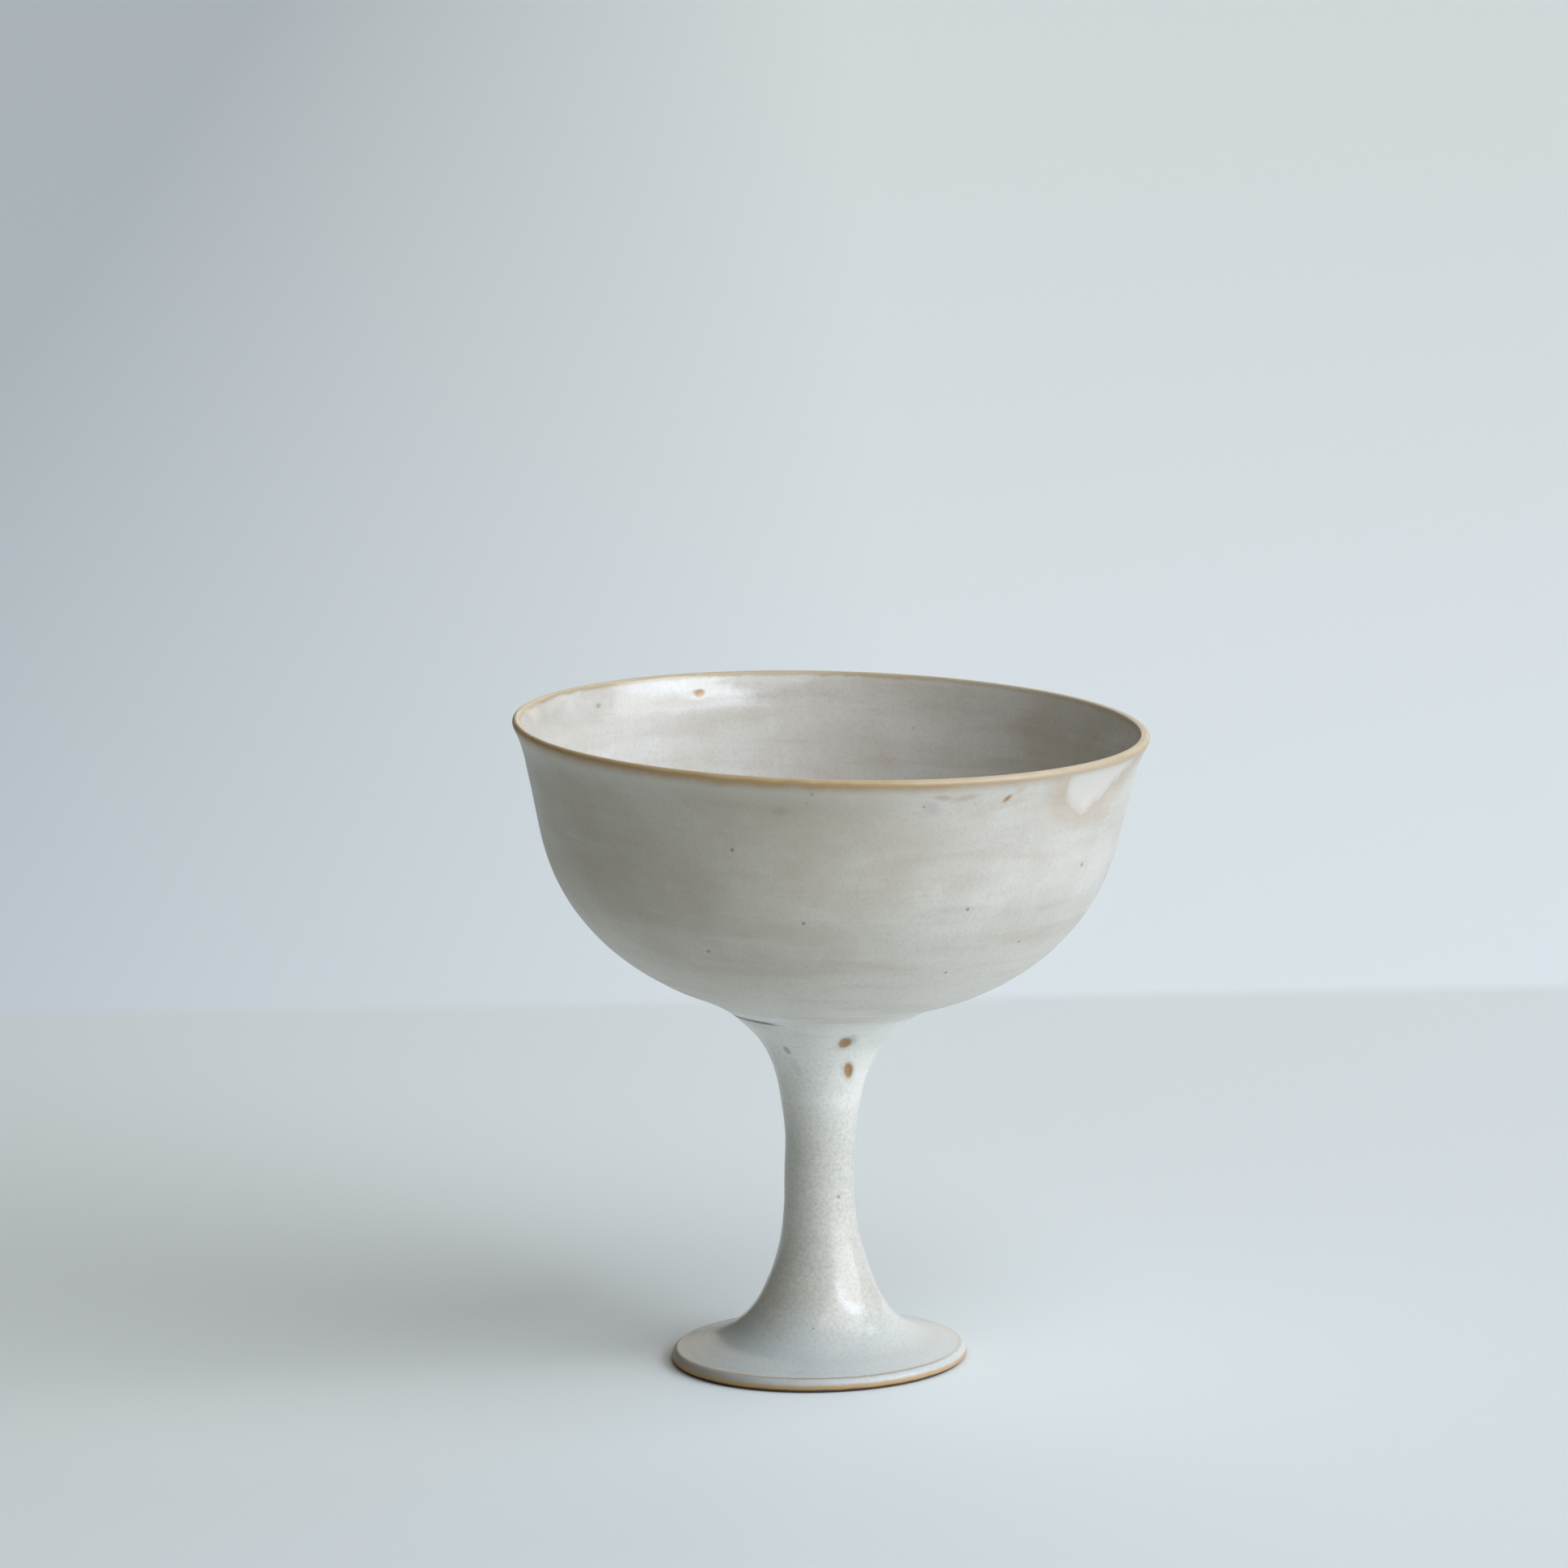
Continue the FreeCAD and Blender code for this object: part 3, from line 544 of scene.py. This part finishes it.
def lay_on(base, tint, measure, none, full, most=1.0, only=(), ramp=SMOOTH):
    """Lays a tint on the glaze, from nothing where the measure is none to most where it is full."""
    amount = put(recipe, "ShaderNodeMapRange", ramp,
                 {"Value": measure, "From Min": none, "From Max": full, "To Max": most}).outputs[0]
    for share in only:
        amount = put(recipe, "ShaderNodeMath", {"operation": "MULTIPLY"}, {0: amount, 1: share}).outputs[0]
    return put(recipe, "ShaderNodeMix", COLOUR, {0: amount, 6: base, 7: linear(tint)}).outputs[2]


ragged_up = put(recipe, "ShaderNodeMath", {"operation": "MULTIPLY_ADD"},
                {0: ragged, 1: RAGGED_RISE * MM, 2: place["Z"]}).outputs[0]
mottled_up = put(recipe, "ShaderNodeMath", {"operation": "MULTIPLY_ADD"},
                 {0: clouds, 1: MOTTLED_RISE * MM, 2: place["Z"]}).outputs[0]
share = {}
for name, measure, (start, full) in (
    ("bowl", place["X"], LEFT_TO_RIGHT["bowl"]), ("foot", place["X"], LEFT_TO_RIGHT["foot"]),
    ("gathered", ragged_up, GATHERS), ("buff", mottled_up, TURNS_BUFF), ("grey", mottled_up, TURNS_GREY),
):
    share[name] = put(recipe, "ShaderNodeMapRange", SMOOTH,
                      {"Value": measure, "From Min": start * MM, "From Max": full * MM}).outputs[0]
patch = put(recipe, "ShaderNodeMapRange", {},
            {"Value": clouds, "From Min": 0.35, "From Max": 0.65}).outputs[0]
sandy = put(recipe, "ShaderNodeMapRange", {},
            {"Value": grain, "From Min": 0.30, "From Max": 0.72, "To Min": 0.65, "To Max": 1.0}).outputs[0]
buff = put(recipe, "ShaderNodeMath", {"operation": "MULTIPLY"}, {0: share["buff"], 1: sandy}).outputs[0]

tone = {}
for name, amount, one, other in (
    ("left", patch, "left thin", "left thick"), ("right", patch, "right thin", "right thick"),
    ("inside", patch, "inside thin", "inside thick"), ("stem", buff, "joint", "stem buff"),
    # the foot runs from its painted shade on the left to its own tone on the right
    ("foot", share["foot"], "foot thin", "foot"),
):
    tone[name] = put(recipe, "ShaderNodeMix", COLOUR,
                     {0: amount, 6: linear(TONES[one]), 7: linear(TONES[other])}).outputs[2]
base = put(recipe, "ShaderNodeMix", COLOUR, {0: share["bowl"], 6: tone["left"], 7: tone["right"]}).outputs[2]
base = put(recipe, "ShaderNodeMix", COLOUR, {0: inside, 6: base, 7: tone["inside"]}).outputs[2]
# the bowl's underside is painted lighter toward the bottom: partly gathered glaze, partly painted light from
# the pale table below
base = lay_on(base, TONES["underside"], ragged_up, none=84 * MM, full=62 * MM, only=[outside], ramp={})
low = put(recipe, "ShaderNodeMix", COLOUR, {0: share["grey"], 6: tone["stem"], 7: tone["foot"]}).outputs[2]
gathered = share["gathered"]
base = put(recipe, "ShaderNodeMix", COLOUR, {0: gathered, 6: base, 7: low}).outputs[2]
print("tones:", ", ".join(TONES))

# %% [markdown]
# Clay showing through
#
# Streaks and grain both pull the colour toward the clay, streaks softly and grain in small dark points.
# Between the dark streaks are paler ones, where the glaze pooled. The stem has less of both.

# %% Streaks and grain: the amounts are values of the noises
STEM_STREAKS = 0.4
on_bowl = put(recipe, "ShaderNodeMapRange", {},
              {"Value": gathered, "To Min": 1.0, "To Max": STEM_STREAKS}).outputs[0]
base = lay_on(base, "#aca08e", streaks, none=0.48, full=0.74, most=0.28, only=[on_bowl])
base = lay_on(base, "#dad8d2", streaks, none=0.46, full=0.26, most=0.20, only=[on_bowl])
base = lay_on(base, "#979081", grain, none=0.42, full=0.76, most=0.24)
print("streaks and grain laid on")

# %% [markdown]
# Specks
#
# Iron in the clay burns through the glaze as small dark specks. The plain ones are strewn by a Voronoi
# pattern: a speck is where the surface passes close to the point of one of its cells, and only one cell in
# five has one. The larger specks of the photographed side have their own places.

# %% Specks: strewn, and placed by x, y, z and radius in mm
SPECK_CELL = 4.5
SPECK_RADIUS = 0.33
EMPTY_CELLS = 0.80
STREWN_STRENGTH, PLACED_STRENGTH = 0.45, 0.6
cells = put(recipe, "ShaderNodeTexVoronoi", {}, {"Vector": where, "Scale": 1 / (SPECK_CELL * MM)})
chosen = put(recipe, "ShaderNodeSeparateColor", {}, {0: cells.outputs["Color"]}).outputs[0]
chosen = put(recipe, "ShaderNodeMath", {"operation": "GREATER_THAN"}, {0: chosen, 1: EMPTY_CELLS}).outputs[0]
speck = put(recipe, "ShaderNodeMapRange", SMOOTH,
            {"Value": cells.outputs["Distance"], "From Min": 0.3 * SPECK_RADIUS / SPECK_CELL,
             "From Max": SPECK_RADIUS / SPECK_CELL, "To Min": STREWN_STRENGTH, "To Max": 0.0}).outputs[0]
speck = put(recipe, "ShaderNodeMath", {"operation": "MULTIPLY"}, {0: speck, 1: chosen}).outputs[0]
SPECKS = [
    (0.5, -52, 105.6, 0.45), (18.4, -49.1, 102.7, 0.3), (44.3, -24.7, 88.1, 0.42),
    (25.3, -41.1, 84.3, 0.38), (33.7, -29.7, 76.5, 0.34), (-1.2, -45.8, 83.4, 0.36),
    (-12.4, -46.6, 95.8, 0.36), (-16.7, -37.5, 77.4, 0.4), (21.7, -34.5, 72.6, 0.34),
    (3.8, -5, 28.6, 0.4), (11.8, -51.9, 107.5, 0.3), (14.1, -51.8, 107.0, 0.42),
]
for x, y, z, half in SPECKS:
    away = put(recipe, "ShaderNodeVectorMath", {"operation": "DISTANCE"},
               {0: where, 1: (x * MM, y * MM, z * MM)}).outputs["Value"]
    dot = put(recipe, "ShaderNodeMapRange", SMOOTH,
              {"Value": away, "From Min": 0.35 * half * MM, "From Max": 1.3 * half * MM,
               "To Min": PLACED_STRENGTH, "To Max": 0.0}).outputs[0]
    speck = put(recipe, "ShaderNodeMath", {"operation": "MAXIMUM"}, {0: speck, 1: dot}).outputs[0]
base = put(recipe, "ShaderNodeMix", COLOUR, {0: speck, 6: base, 7: linear("#634a33")}).outputs[2]
print("specks with a place of their own:", len(SPECKS))

# %% [markdown]
# Worn edges
#
# A melted glaze pulls away from every sharp edge. On the lip it left a golden-brown band about three
# millimetres wide, darkest just under the crest, with a roll of greyer glaze below it. The paler crest is a
# painted highlight, and the band is painted paler toward the lit right side. The foot's ridge shows as a thin
# brown line, strongest in front. From there down to the table the edge is pale, then bare ochre clay, and a
# dark line at the bottom is a painted contact shadow. Its left end is painted darker and browner, as painted
# shade.

# %% Lip and foot edges, distances in mm
lip_line = put(recipe, "ShaderNodeMath", {"operation": "MULTIPLY_ADD"},
               {0: uneven, 1: 1.3 * MM, 2: lip_gap}).outputs[0]
base = lay_on(base, "#c7c5bb", lip_line, none=6.5 * MM, full=2.6 * MM, most=0.42, only=[outside])
LIP_SPAN = (-2.0, 4.0)
# the stop at the crest is paler than those beside it: a painted highlight along the top of the lip
LIP_BAND = [
    (-1.5, "#b0a68e", 0.0), (-0.9, "#a69979", 0.85), (0.0, "#bfb091", 0.9), (0.6, "#b8a27b", 0.95),
    (1.1, "#ab8d5f", 1.0), (1.7, "#a6885f", 0.75), (3.1, "#b09a7a", 0.0),
]
along = put(recipe, "ShaderNodeMapRange", {},
            {"Value": lip_line, "From Min": LIP_SPAN[0] * MM, "From Max": LIP_SPAN[1] * MM}).outputs[0]
band = put(recipe, "ShaderNodeValToRGB", {}, {0: along})
stops = band.color_ramp.elements
stops[0].color, stops[1].color = [linear(LIP_BAND[i][1])[:3] + [0.0] for i in (0, -1)]
for at, tint, amount in LIP_BAND:
    stops.new((at - LIP_SPAN[0]) / (LIP_SPAN[1] - LIP_SPAN[0])).color = linear(tint)[:3] + [amount]
# the band is painted paler toward the right, the lit side: painted light
paler = put(recipe, "ShaderNodeMapRange", SMOOTH,
            {"Value": place["X"], "From Min": 5 * MM, "From Max": 40 * MM,
             "To Min": 1.0, "To Max": 0.68}).outputs[0]
paler = put(recipe, "ShaderNodeMath", {"operation": "MULTIPLY"},
            {0: band.outputs["Alpha"], 1: paler}).outputs[0]
base = put(recipe, "ShaderNodeMix", COLOUR, {0: paler, 6: base, 7: band.outputs["Color"]}).outputs[2]

ridge_line = put(recipe, "ShaderNodeMath", {"operation": "MULTIPLY_ADD"},
                 {0: uneven, 1: 0.5 * MM, 2: ridge_gap}).outputs[0]
off_ridge = put(recipe, "ShaderNodeMath", {"operation": "ABSOLUTE"}, {0: ridge_line}).outputs[0]
in_front = put(recipe, "ShaderNodeMapRange", SMOOTH,
               {"Value": place["Y"], "From Min": -6 * MM, "From Max": -19 * MM, "To Min": 0.35}).outputs[0]
# the foot's edge is painted darker and browner toward its left end: painted shade
shaded_left_end = put(recipe, "ShaderNodeMapRange", SMOOTH,
               {"Value": place["X"], "From Min": -6 * MM, "From Max": -22 * MM, "To Max": 0.55}).outputs[0]
bare = put(recipe, "ShaderNodeMapRange", SMOOTH,
           {"Value": ridge_line, "From Min": -1.0 * MM, "From Max": -1.8 * MM}).outputs[0]
base = lay_on(base, "#9c7d5e", off_ridge, none=0.42 * MM, full=0.08 * MM, most=0.62, only=[in_front])
base = lay_on(base, "#9c8d78", ridge_line, none=0.3 * MM, full=-0.5 * MM, only=[shaded_left_end])
base = put(recipe, "ShaderNodeMix", COLOUR, {0: bare, 6: base, 7: linear(TONES["clay"])}).outputs[2]
# a dark line painted at the foot's bottom edge: painted contact shadow under the undercut
base = lay_on(base, "#4a392b", ridge_line, none=-2.05 * MM, full=-2.35 * MM, most=0.9)
print("lip band from %.1f to %.1f mm, bare clay below the ridge" % (LIP_BAND[0][0], LIP_BAND[-1][0]))

# %% [markdown]
# The pool of glaze
#
# Under the lip on the right, glaze gathered and ran into a white wedge, with brown edges where it drew the
# glaze off the clay round it. It is drawn in a flat frame laid on the bowl: millimetres round the pot and
# millimetres up from the wedge's tip. Three straight sides with rounded corners and the lip's band close
# it, and its measure is the distance outside those sides, which is below nought within them.

# %% Wedge of white glaze: each side leans by its first two numbers and lies the third in mm away
WEDGE_TIP = (math.radians(-32.2), 97.6)
WEDGE_RADIUS = 55.0
WEDGE_SIDES = ((-1.0, -0.05, -7.8), (-0.483, -0.876, -1.0), (0.42, -0.907, -0.4))
WEDGE_ROUND = 3.0
WEDGE_UNEVEN = 3.6
round_mm = put(recipe, "ShaderNodeMath", {"operation": "SUBTRACT"}, {0: turn, 1: WEDGE_TIP[0]}).outputs[0]
round_mm = put(recipe, "ShaderNodeMath", {"operation": "MULTIPLY"}, {0: round_mm, 1: WEDGE_RADIUS}).outputs[0]
up_mm = put(recipe, "ShaderNodeMath", {"operation": "MULTIPLY_ADD"},
            {0: place["Z"], 1: 1 / MM, 2: -WEDGE_TIP[1]}).outputs[0]
wedge = None
for over_round, over_up, beyond in WEDGE_SIDES:
    side = put(recipe, "ShaderNodeMath", {"operation": "MULTIPLY_ADD"},
               {0: up_mm, 1: over_up, 2: beyond}).outputs[0]
    side = put(recipe, "ShaderNodeMath", {"operation": "MULTIPLY_ADD"},
               {0: round_mm, 1: over_round, 2: side}).outputs[0]
    if wedge:
        side = put(recipe, "ShaderNodeMath", {"operation": "SMOOTH_MAX"},
                   {0: wedge, 1: side, 2: WEDGE_ROUND}).outputs[0]
    wedge = side
wedge = put(recipe, "ShaderNodeMath", {"operation": "MULTIPLY_ADD"},
            {0: uneven, 1: WEDGE_UNEVEN, 2: wedge}).outputs[0]
below_lip = put(recipe, "ShaderNodeMapRange", SMOOTH,
                {"Value": lip_gap, "From Min": 1.4 * MM, "From Max": 2.6 * MM}).outputs[0]
near_tip = put(recipe, "ShaderNodeMapRange", SMOOTH,
               {"Value": up_mm, "From Min": -4.0, "From Max": -0.5}).outputs[0]
outline_mm = put(recipe, "ShaderNodeMath", {"operation": "ABSOLUTE"}, {0: wedge}).outputs[0]
rust = put(recipe, "ShaderNodeMapRange", SMOOTH,
           {"Value": outline_mm, "From Min": 1.3, "From Max": 0.0, "To Max": 0.5}).outputs[0]
halo = put(recipe, "ShaderNodeMapRange", SMOOTH,
           {"Value": wedge, "From Min": 5.5, "From Max": 0.5, "To Max": 0.34}).outputs[0]
rust = put(recipe, "ShaderNodeMath", {"operation": "MAXIMUM"}, {0: rust, 1: halo}).outputs[0]
base = lay_on(base, "#a98f70", rust, none=0.0, full=1.0, only=[near_tip, below_lip], ramp={})
base = lay_on(base, "#dadbd6", wedge, none=0.7, full=-2.2, most=0.54, only=[below_lip])
print("wedge tip at %.0f degrees, %.1f mm up" % (math.degrees(WEDGE_TIP[0]), WEDGE_TIP[1]))

# %% [markdown]
# Pinholes, smudges and the fold's line
#
# The pinholes take their colours from the table above, each in its own hollow. Smudges are faint brown
# breaths of iron near the lip and round the pinholes. Under the fold's edge a dark line is painted as the
# shade in the crease, with a painted highlight on the roll of glaze just above it.

# %% Single marks
SMUDGES = [
    ((-4.7, -50.2, 102.6), (1.5, 0.8), 0, 0, "#9a8b76", 0.40),
    ((25.2, -46.9, 103.6), (2.3, 0.5), 8, 0, "#a68d6d", 0.45),
    ((21.5, -48.6, 104.0), (1.6, 0.45), -8, 0, "#a68a66", 0.50),
    ((19.6, -48.8, 102.4), (1.5, 1.2), -30, 0, "#a7a49e", 0.50),
    ((31.9, -43.1, 102.7), (0.95, 0.38), 38, 0, "#9a7038", 0.90),
    ((34.2, -41.8, 104.0), (1.2, 0.5), 40, 0, "#b8a078", 0.40),
    ((47.5, -22.0, 95.8), (2.2, 1.4), 35, 0, "#b3a28b", 0.30),
    ((5.6, -11.8, 56.55), (2.0, 1.3), 30, 0, "#8f8575", 0.55),
    ((5.7, -7.5, 50.6), (1.1, 2.2), 4, 0, "#978e7f", 0.5),
]
HOLE_EDGE, SMUDGE_EDGE = (0.6, 1.2), (0.2, 1.5)
MARK_UNEVEN = 0.8
for middle, half, tilt, hollow, tint, strength in SMUDGES + PINHOLES:
    away = off_mark(recipe, where, middle, half, tilt)
    away = put(recipe, "ShaderNodeMath", {"operation": "MULTIPLY_ADD"},
               {0: uneven, 1: MARK_UNEVEN, 2: away}).outputs[0]
    full, none = HOLE_EDGE if hollow else SMUDGE_EDGE
    wall_side = inside if middle[1] > 0 else outside
    base = lay_on(base, tint, away, none=none, full=full, most=strength, only=[wall_side])

# the fold carries a painted highlight on its roll above the edge and painted shade in the crease below it
SHADE_BELOW_FOLD, HIGHLIGHT_ABOVE_FOLD = 0.42, 0.7
MARK_RISES, SHADE_FALLS, HIGHLIGHT_FALLS = (-156, -138), (-119, -109), (-114, -90)
angle = put(recipe, "ShaderNodeMath", {"operation": "DEGREES"}, {0: turn}).outputs[0]
over = above_fold(recipe, angle, place["Z"])
# first the painted highlight above the fold's edge, then the painted shade in the crease under it
for tint, away, none, full, most, falls in (
    ("#e6e8e6", -HIGHLIGHT_ABOVE_FOLD, 1.1, 0.2, 0.9, HIGHLIGHT_FALLS),
    ("#4c3a29", SHADE_BELOW_FOLD, 0.72, 0.16, 1.0, SHADE_FALLS),
):
    off_line = put(recipe, "ShaderNodeMath", {"operation": "ADD"}, {0: over, 1: away * MM}).outputs[0]
    off_line = put(recipe, "ShaderNodeMath", {"operation": "ABSOLUTE"}, {0: off_line}).outputs[0]
    shown = kept_between(recipe, angle, 1.0, MARK_RISES, falls)
    base = lay_on(base, tint, off_line, none=none * MM, full=full * MM, most=most, only=[shown])
print("single marks:", len(PINHOLES + SMUDGES), "and the fold's line")

# %% [markdown]
# Gloss and skin
#
# Thick glaze is smoother than thin, so the stem and the foot are glossier than the bowl, most where the
# foot flares, and so is a band just inside the lip. Deeper inside the bowl it is dull, and bare clay is
# duller still. The skin has a fine orange-peel unevenness, a few hundredths of a millimetre deep, which is
# drawn as bump because it is finer than the mesh.

# %% Roughness, bump and output
GLOSS = {"bowl": 0.42, "stem": 0.235, "flare": 0.15, "foot": 0.25, "inner lip": 0.14, "deep inside": 0.7,
         "bare clay": 0.9}
GLOSS_UNEVEN = 0.08
stem_gloss = put(recipe, "ShaderNodeMapRange", SMOOTH,
                 {"Value": place["Z"], "From Min": 12 * MM, "From Max": 22 * MM,
                  "To Min": GLOSS["flare"], "To Max": GLOSS["stem"]}).outputs[0]
stem_gloss = put(recipe, "ShaderNodeMapRange", SMOOTH,
                 {"Value": place["Z"], "From Min": 3.5 * MM, "From Max": 8 * MM,
                  "To Min": GLOSS["foot"], "To Max": stem_gloss}).outputs[0]
inner_gloss = put(recipe, "ShaderNodeMapRange", SMOOTH,
                  {"Value": lip_gap, "From Min": -8.5 * MM, "From Max": -5.0 * MM,
                   "To Min": GLOSS["deep inside"], "To Max": GLOSS["inner lip"]}).outputs[0]
gloss = GLOSS["bowl"]
for amount, other in ((gathered, stem_gloss), (inside, inner_gloss), (bare, GLOSS["bare clay"])):
    gloss = put(recipe, "ShaderNodeMix", {"data_type": "FLOAT"}, {0: amount, 2: gloss, 3: other}).outputs[0]
gloss = put(recipe, "ShaderNodeMath", {"operation": "MULTIPLY_ADD"},
            {0: uneven, 1: GLOSS_UNEVEN, 2: gloss}).outputs[0]
PEEL_SIZE = 1.6
PEEL_DEPTH = 0.04
peel = put(recipe, "ShaderNodeTexNoise", {},
           {"Vector": where, "Scale": 1 / (PEEL_SIZE * MM), "Detail": 2.0}).outputs[0]
skin_bump = put(recipe, "ShaderNodeBump", {}, {"Strength": 1.0, "Distance": PEEL_DEPTH * MM, "Height": peel})
surface = put(recipe, "ShaderNodeBsdfPrincipled", {},
              {"Base Color": base, "Roughness": gloss, "IOR": 1.5, "Normal": skin_bump.outputs[0]})
put(recipe, "ShaderNodeOutputMaterial", {}, {"Surface": surface.outputs[0]})
print("glaze:", len(recipe.nodes), "nodes")

# %% [markdown]
# Firing it
#
# The profile line becomes an object, the tree runs on it as a modifier, and the result is taken out as a
# plain mesh. The test afterwards is the one that a potter would make by eye: one closed skin, facing out.

# %% Make the goblet's mesh
outline = bpy.data.meshes.new("goblet_profile")
outline.from_pydata(
    [(r * MM, middle * MM, height * MM) for r, middle, height, tilt in ROWS],
    [(i, i + 1) for i in range(len(ROWS) - 1)], [],
)
for name, values in carried.items():
    outline.attributes.new(name, "FLOAT", "POINT").data.foreach_set("value", values)
goblet = bpy.data.objects.new("thrown_goblet", outline)
bpy.context.scene.collection.objects.link(goblet)
wheel = goblet.modifiers.new("throwing", "NODES")
wheel.node_group = throwing
socket_of = {s.name: s.identifier for s in door.items_tree if s.in_out == "INPUT"}
SETTINGS = {
    "Columns": 264, "Smoothing": 3, "Ring spacing": 3.2 * MM, "Unevenness": 0.25 * MM,
    "Unevenness size": 1 / (38 * MM), "Lip difference": 0.35 * MM, "Seed": 7.0, "Glaze": glaze,
}
for name, value in SETTINGS.items():
    wheel[socket_of[name]] = value
thrown = bpy.data.meshes.new_from_object(goblet.evaluated_get(bpy.context.evaluated_depsgraph_get()))
goblet.modifiers.clear()
goblet.data = thrown
while thrown.materials[0] is None:
    thrown.materials.pop(index=0)
thrown.polygons.foreach_set("material_index", [0] * len(thrown.polygons))
skin = bmesh.new()
skin.from_mesh(thrown)
volume = skin.calc_volume(signed=True)
if volume < 0:
    bmesh.ops.reverse_faces(skin, faces=skin.faces)
    skin.to_mesh(thrown)
open_edges = sum(not e.is_manifold for e in skin.edges)
skin.free()
triangles = sum(len(p.vertices) - 2 for p in thrown.polygons)
print("skin: %d triangles, %d open edges, %.1f cubic cm" % (triangles, open_edges, volume * 1e6))
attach(goblet, "root")
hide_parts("goblet")

# %% [markdown]
# Table
#
# The goblet stands on a plain pale table. The table is painted a shade darker on the side that is far from
# the window, with a soft line where the wall behind it starts, because one flat plane has to be both.

# %% Pale table
table_mesh = bpy.data.meshes.new("table")
FLOOR_REACH = 3.0
corners = [(x * FLOOR_REACH, y * FLOOR_REACH, 0) for x, y in ((-1, -1), (1, -1), (1, 1), (-1, 1))]
table_mesh.from_pydata(corners, [], [(0, 1, 2, 3)])
table = bpy.data.objects.new("table", table_mesh)
bpy.context.scene.collection.objects.link(table)
paint = bpy.data.materials.new("painted_table")
paint.use_nodes = True
coat = paint.node_tree
on_table = put(coat, "ShaderNodeTexCoord").outputs["Object"]
on_table = put(coat, "ShaderNodeSeparateXYZ", {}, {0: on_table}).outputs
TABLE_TONES = (-0.16, "#d0dadc", 0.0, "#e1ebed")
WALL_TONES = (-0.26, "#bdcad2", 0.02, "#ecf7fb")
WALL_LINE = (0.284, 0.298)
DULL = 0.9
shades = []
for left, dark, right, light in (TABLE_TONES, WALL_TONES):
    sideways = put(coat, "ShaderNodeMapRange", {},
                   {"Value": on_table["X"], "From Min": left, "From Max": right}).outputs[0]
    shades.append(put(coat, "ShaderNodeMix", COLOUR,
                      {0: sideways, 6: linear(dark), 7: linear(light)}).outputs[2])
past_line = put(coat, "ShaderNodeMapRange", SMOOTH,
                {"Value": on_table["Y"], "From Min": WALL_LINE[0], "From Max": WALL_LINE[1]}).outputs[0]
shade = put(coat, "ShaderNodeMix", COLOUR, {0: past_line, 6: shades[0], 7: shades[1]}).outputs[2]
coat.links.new(shade, coat.nodes["Principled BSDF"].inputs["Base Color"])
coat.nodes["Principled BSDF"].inputs["Roughness"].default_value = DULL
table_mesh.materials.append(paint)
print("table %.0f m across" % (2 * FLOOR_REACH))

# %% [markdown]
# Window light
#
# The light is one large window to the right and in front, and a pale room behind. Sun lamps with a wide
# angle give most of it: they light the whole table evenly, and a wide angle makes the shadow as soft as a
# large window does. Three panes of open sky glint in the glaze with edges of their own, so area lamps make
# those, long and low, with the window's bars as the gaps between them.

# %% Lamps: degrees round from the right, degrees up
AIMED_AT = Vector((0, 0, 0.06))
LAMP_AWAY = 1.5
PANE_TALL = 0.3
PANE_RADIANCE = 3.2
ROOM_GLOW = 0.125


def toward(round_from_right, up):
    """The direction from the goblet to a lamp."""
    a, b = math.radians(round_from_right), math.radians(up)
    return Vector((math.cos(b) * math.cos(a), math.cos(b) * math.sin(a), math.sin(b)))


def hang(name, lamp, aim):
    """Hangs a lamp on a line from the goblet, facing it."""
    stand = bpy.data.objects.new(name, lamp)
    stand.location = AIMED_AT + aim * LAMP_AWAY
    stand.rotation_euler = aim.to_track_quat("Z", "Y").to_euler()
    bpy.context.scene.collection.objects.link(stand)


for name, round_from_right, up, wide, strength, tint in (
    ("window_low", -26, 8, 62, 2.68, "#f9fbff"),
    ("window_high", -40, 52, 58, 1.52, "#f9fbff"),
    ("room_behind", 75, 27, 60, 0.66, "#fff4e4"),
):
    lamp = bpy.data.lights.new(name, "SUN")
    lamp.angle, lamp.energy, lamp.color = math.radians(wide), strength, linear(tint)[:3]
    hang(name, lamp, toward(round_from_right, up))
for name, round_from_right, up, wide in (
    ("sky_pane_right", -20, 32, 1.37), ("sky_pane_left", -52, 27, 0.26), ("sky_pane_high", 20, 44, 0.32),
):
    pane = bpy.data.lights.new(name, "AREA")
    pane.shape, pane.size, pane.size_y = "RECTANGLE", wide, PANE_TALL
    pane.energy = PANE_RADIANCE * math.pi * wide * PANE_TALL
    pane.color = linear("#d3e0ff")[:3]
    hang(name, pane, toward(round_from_right, up))
sky = bpy.data.worlds.new("pale_room")
sky.use_nodes = True
sky.node_tree.nodes["Background"].inputs["Color"].default_value = linear("#fff2de")
sky.node_tree.nodes["Background"].inputs["Strength"].default_value = ROOM_GLOW
bpy.context.scene.world = sky
bpy.context.scene.view_settings.view_transform = "Standard"
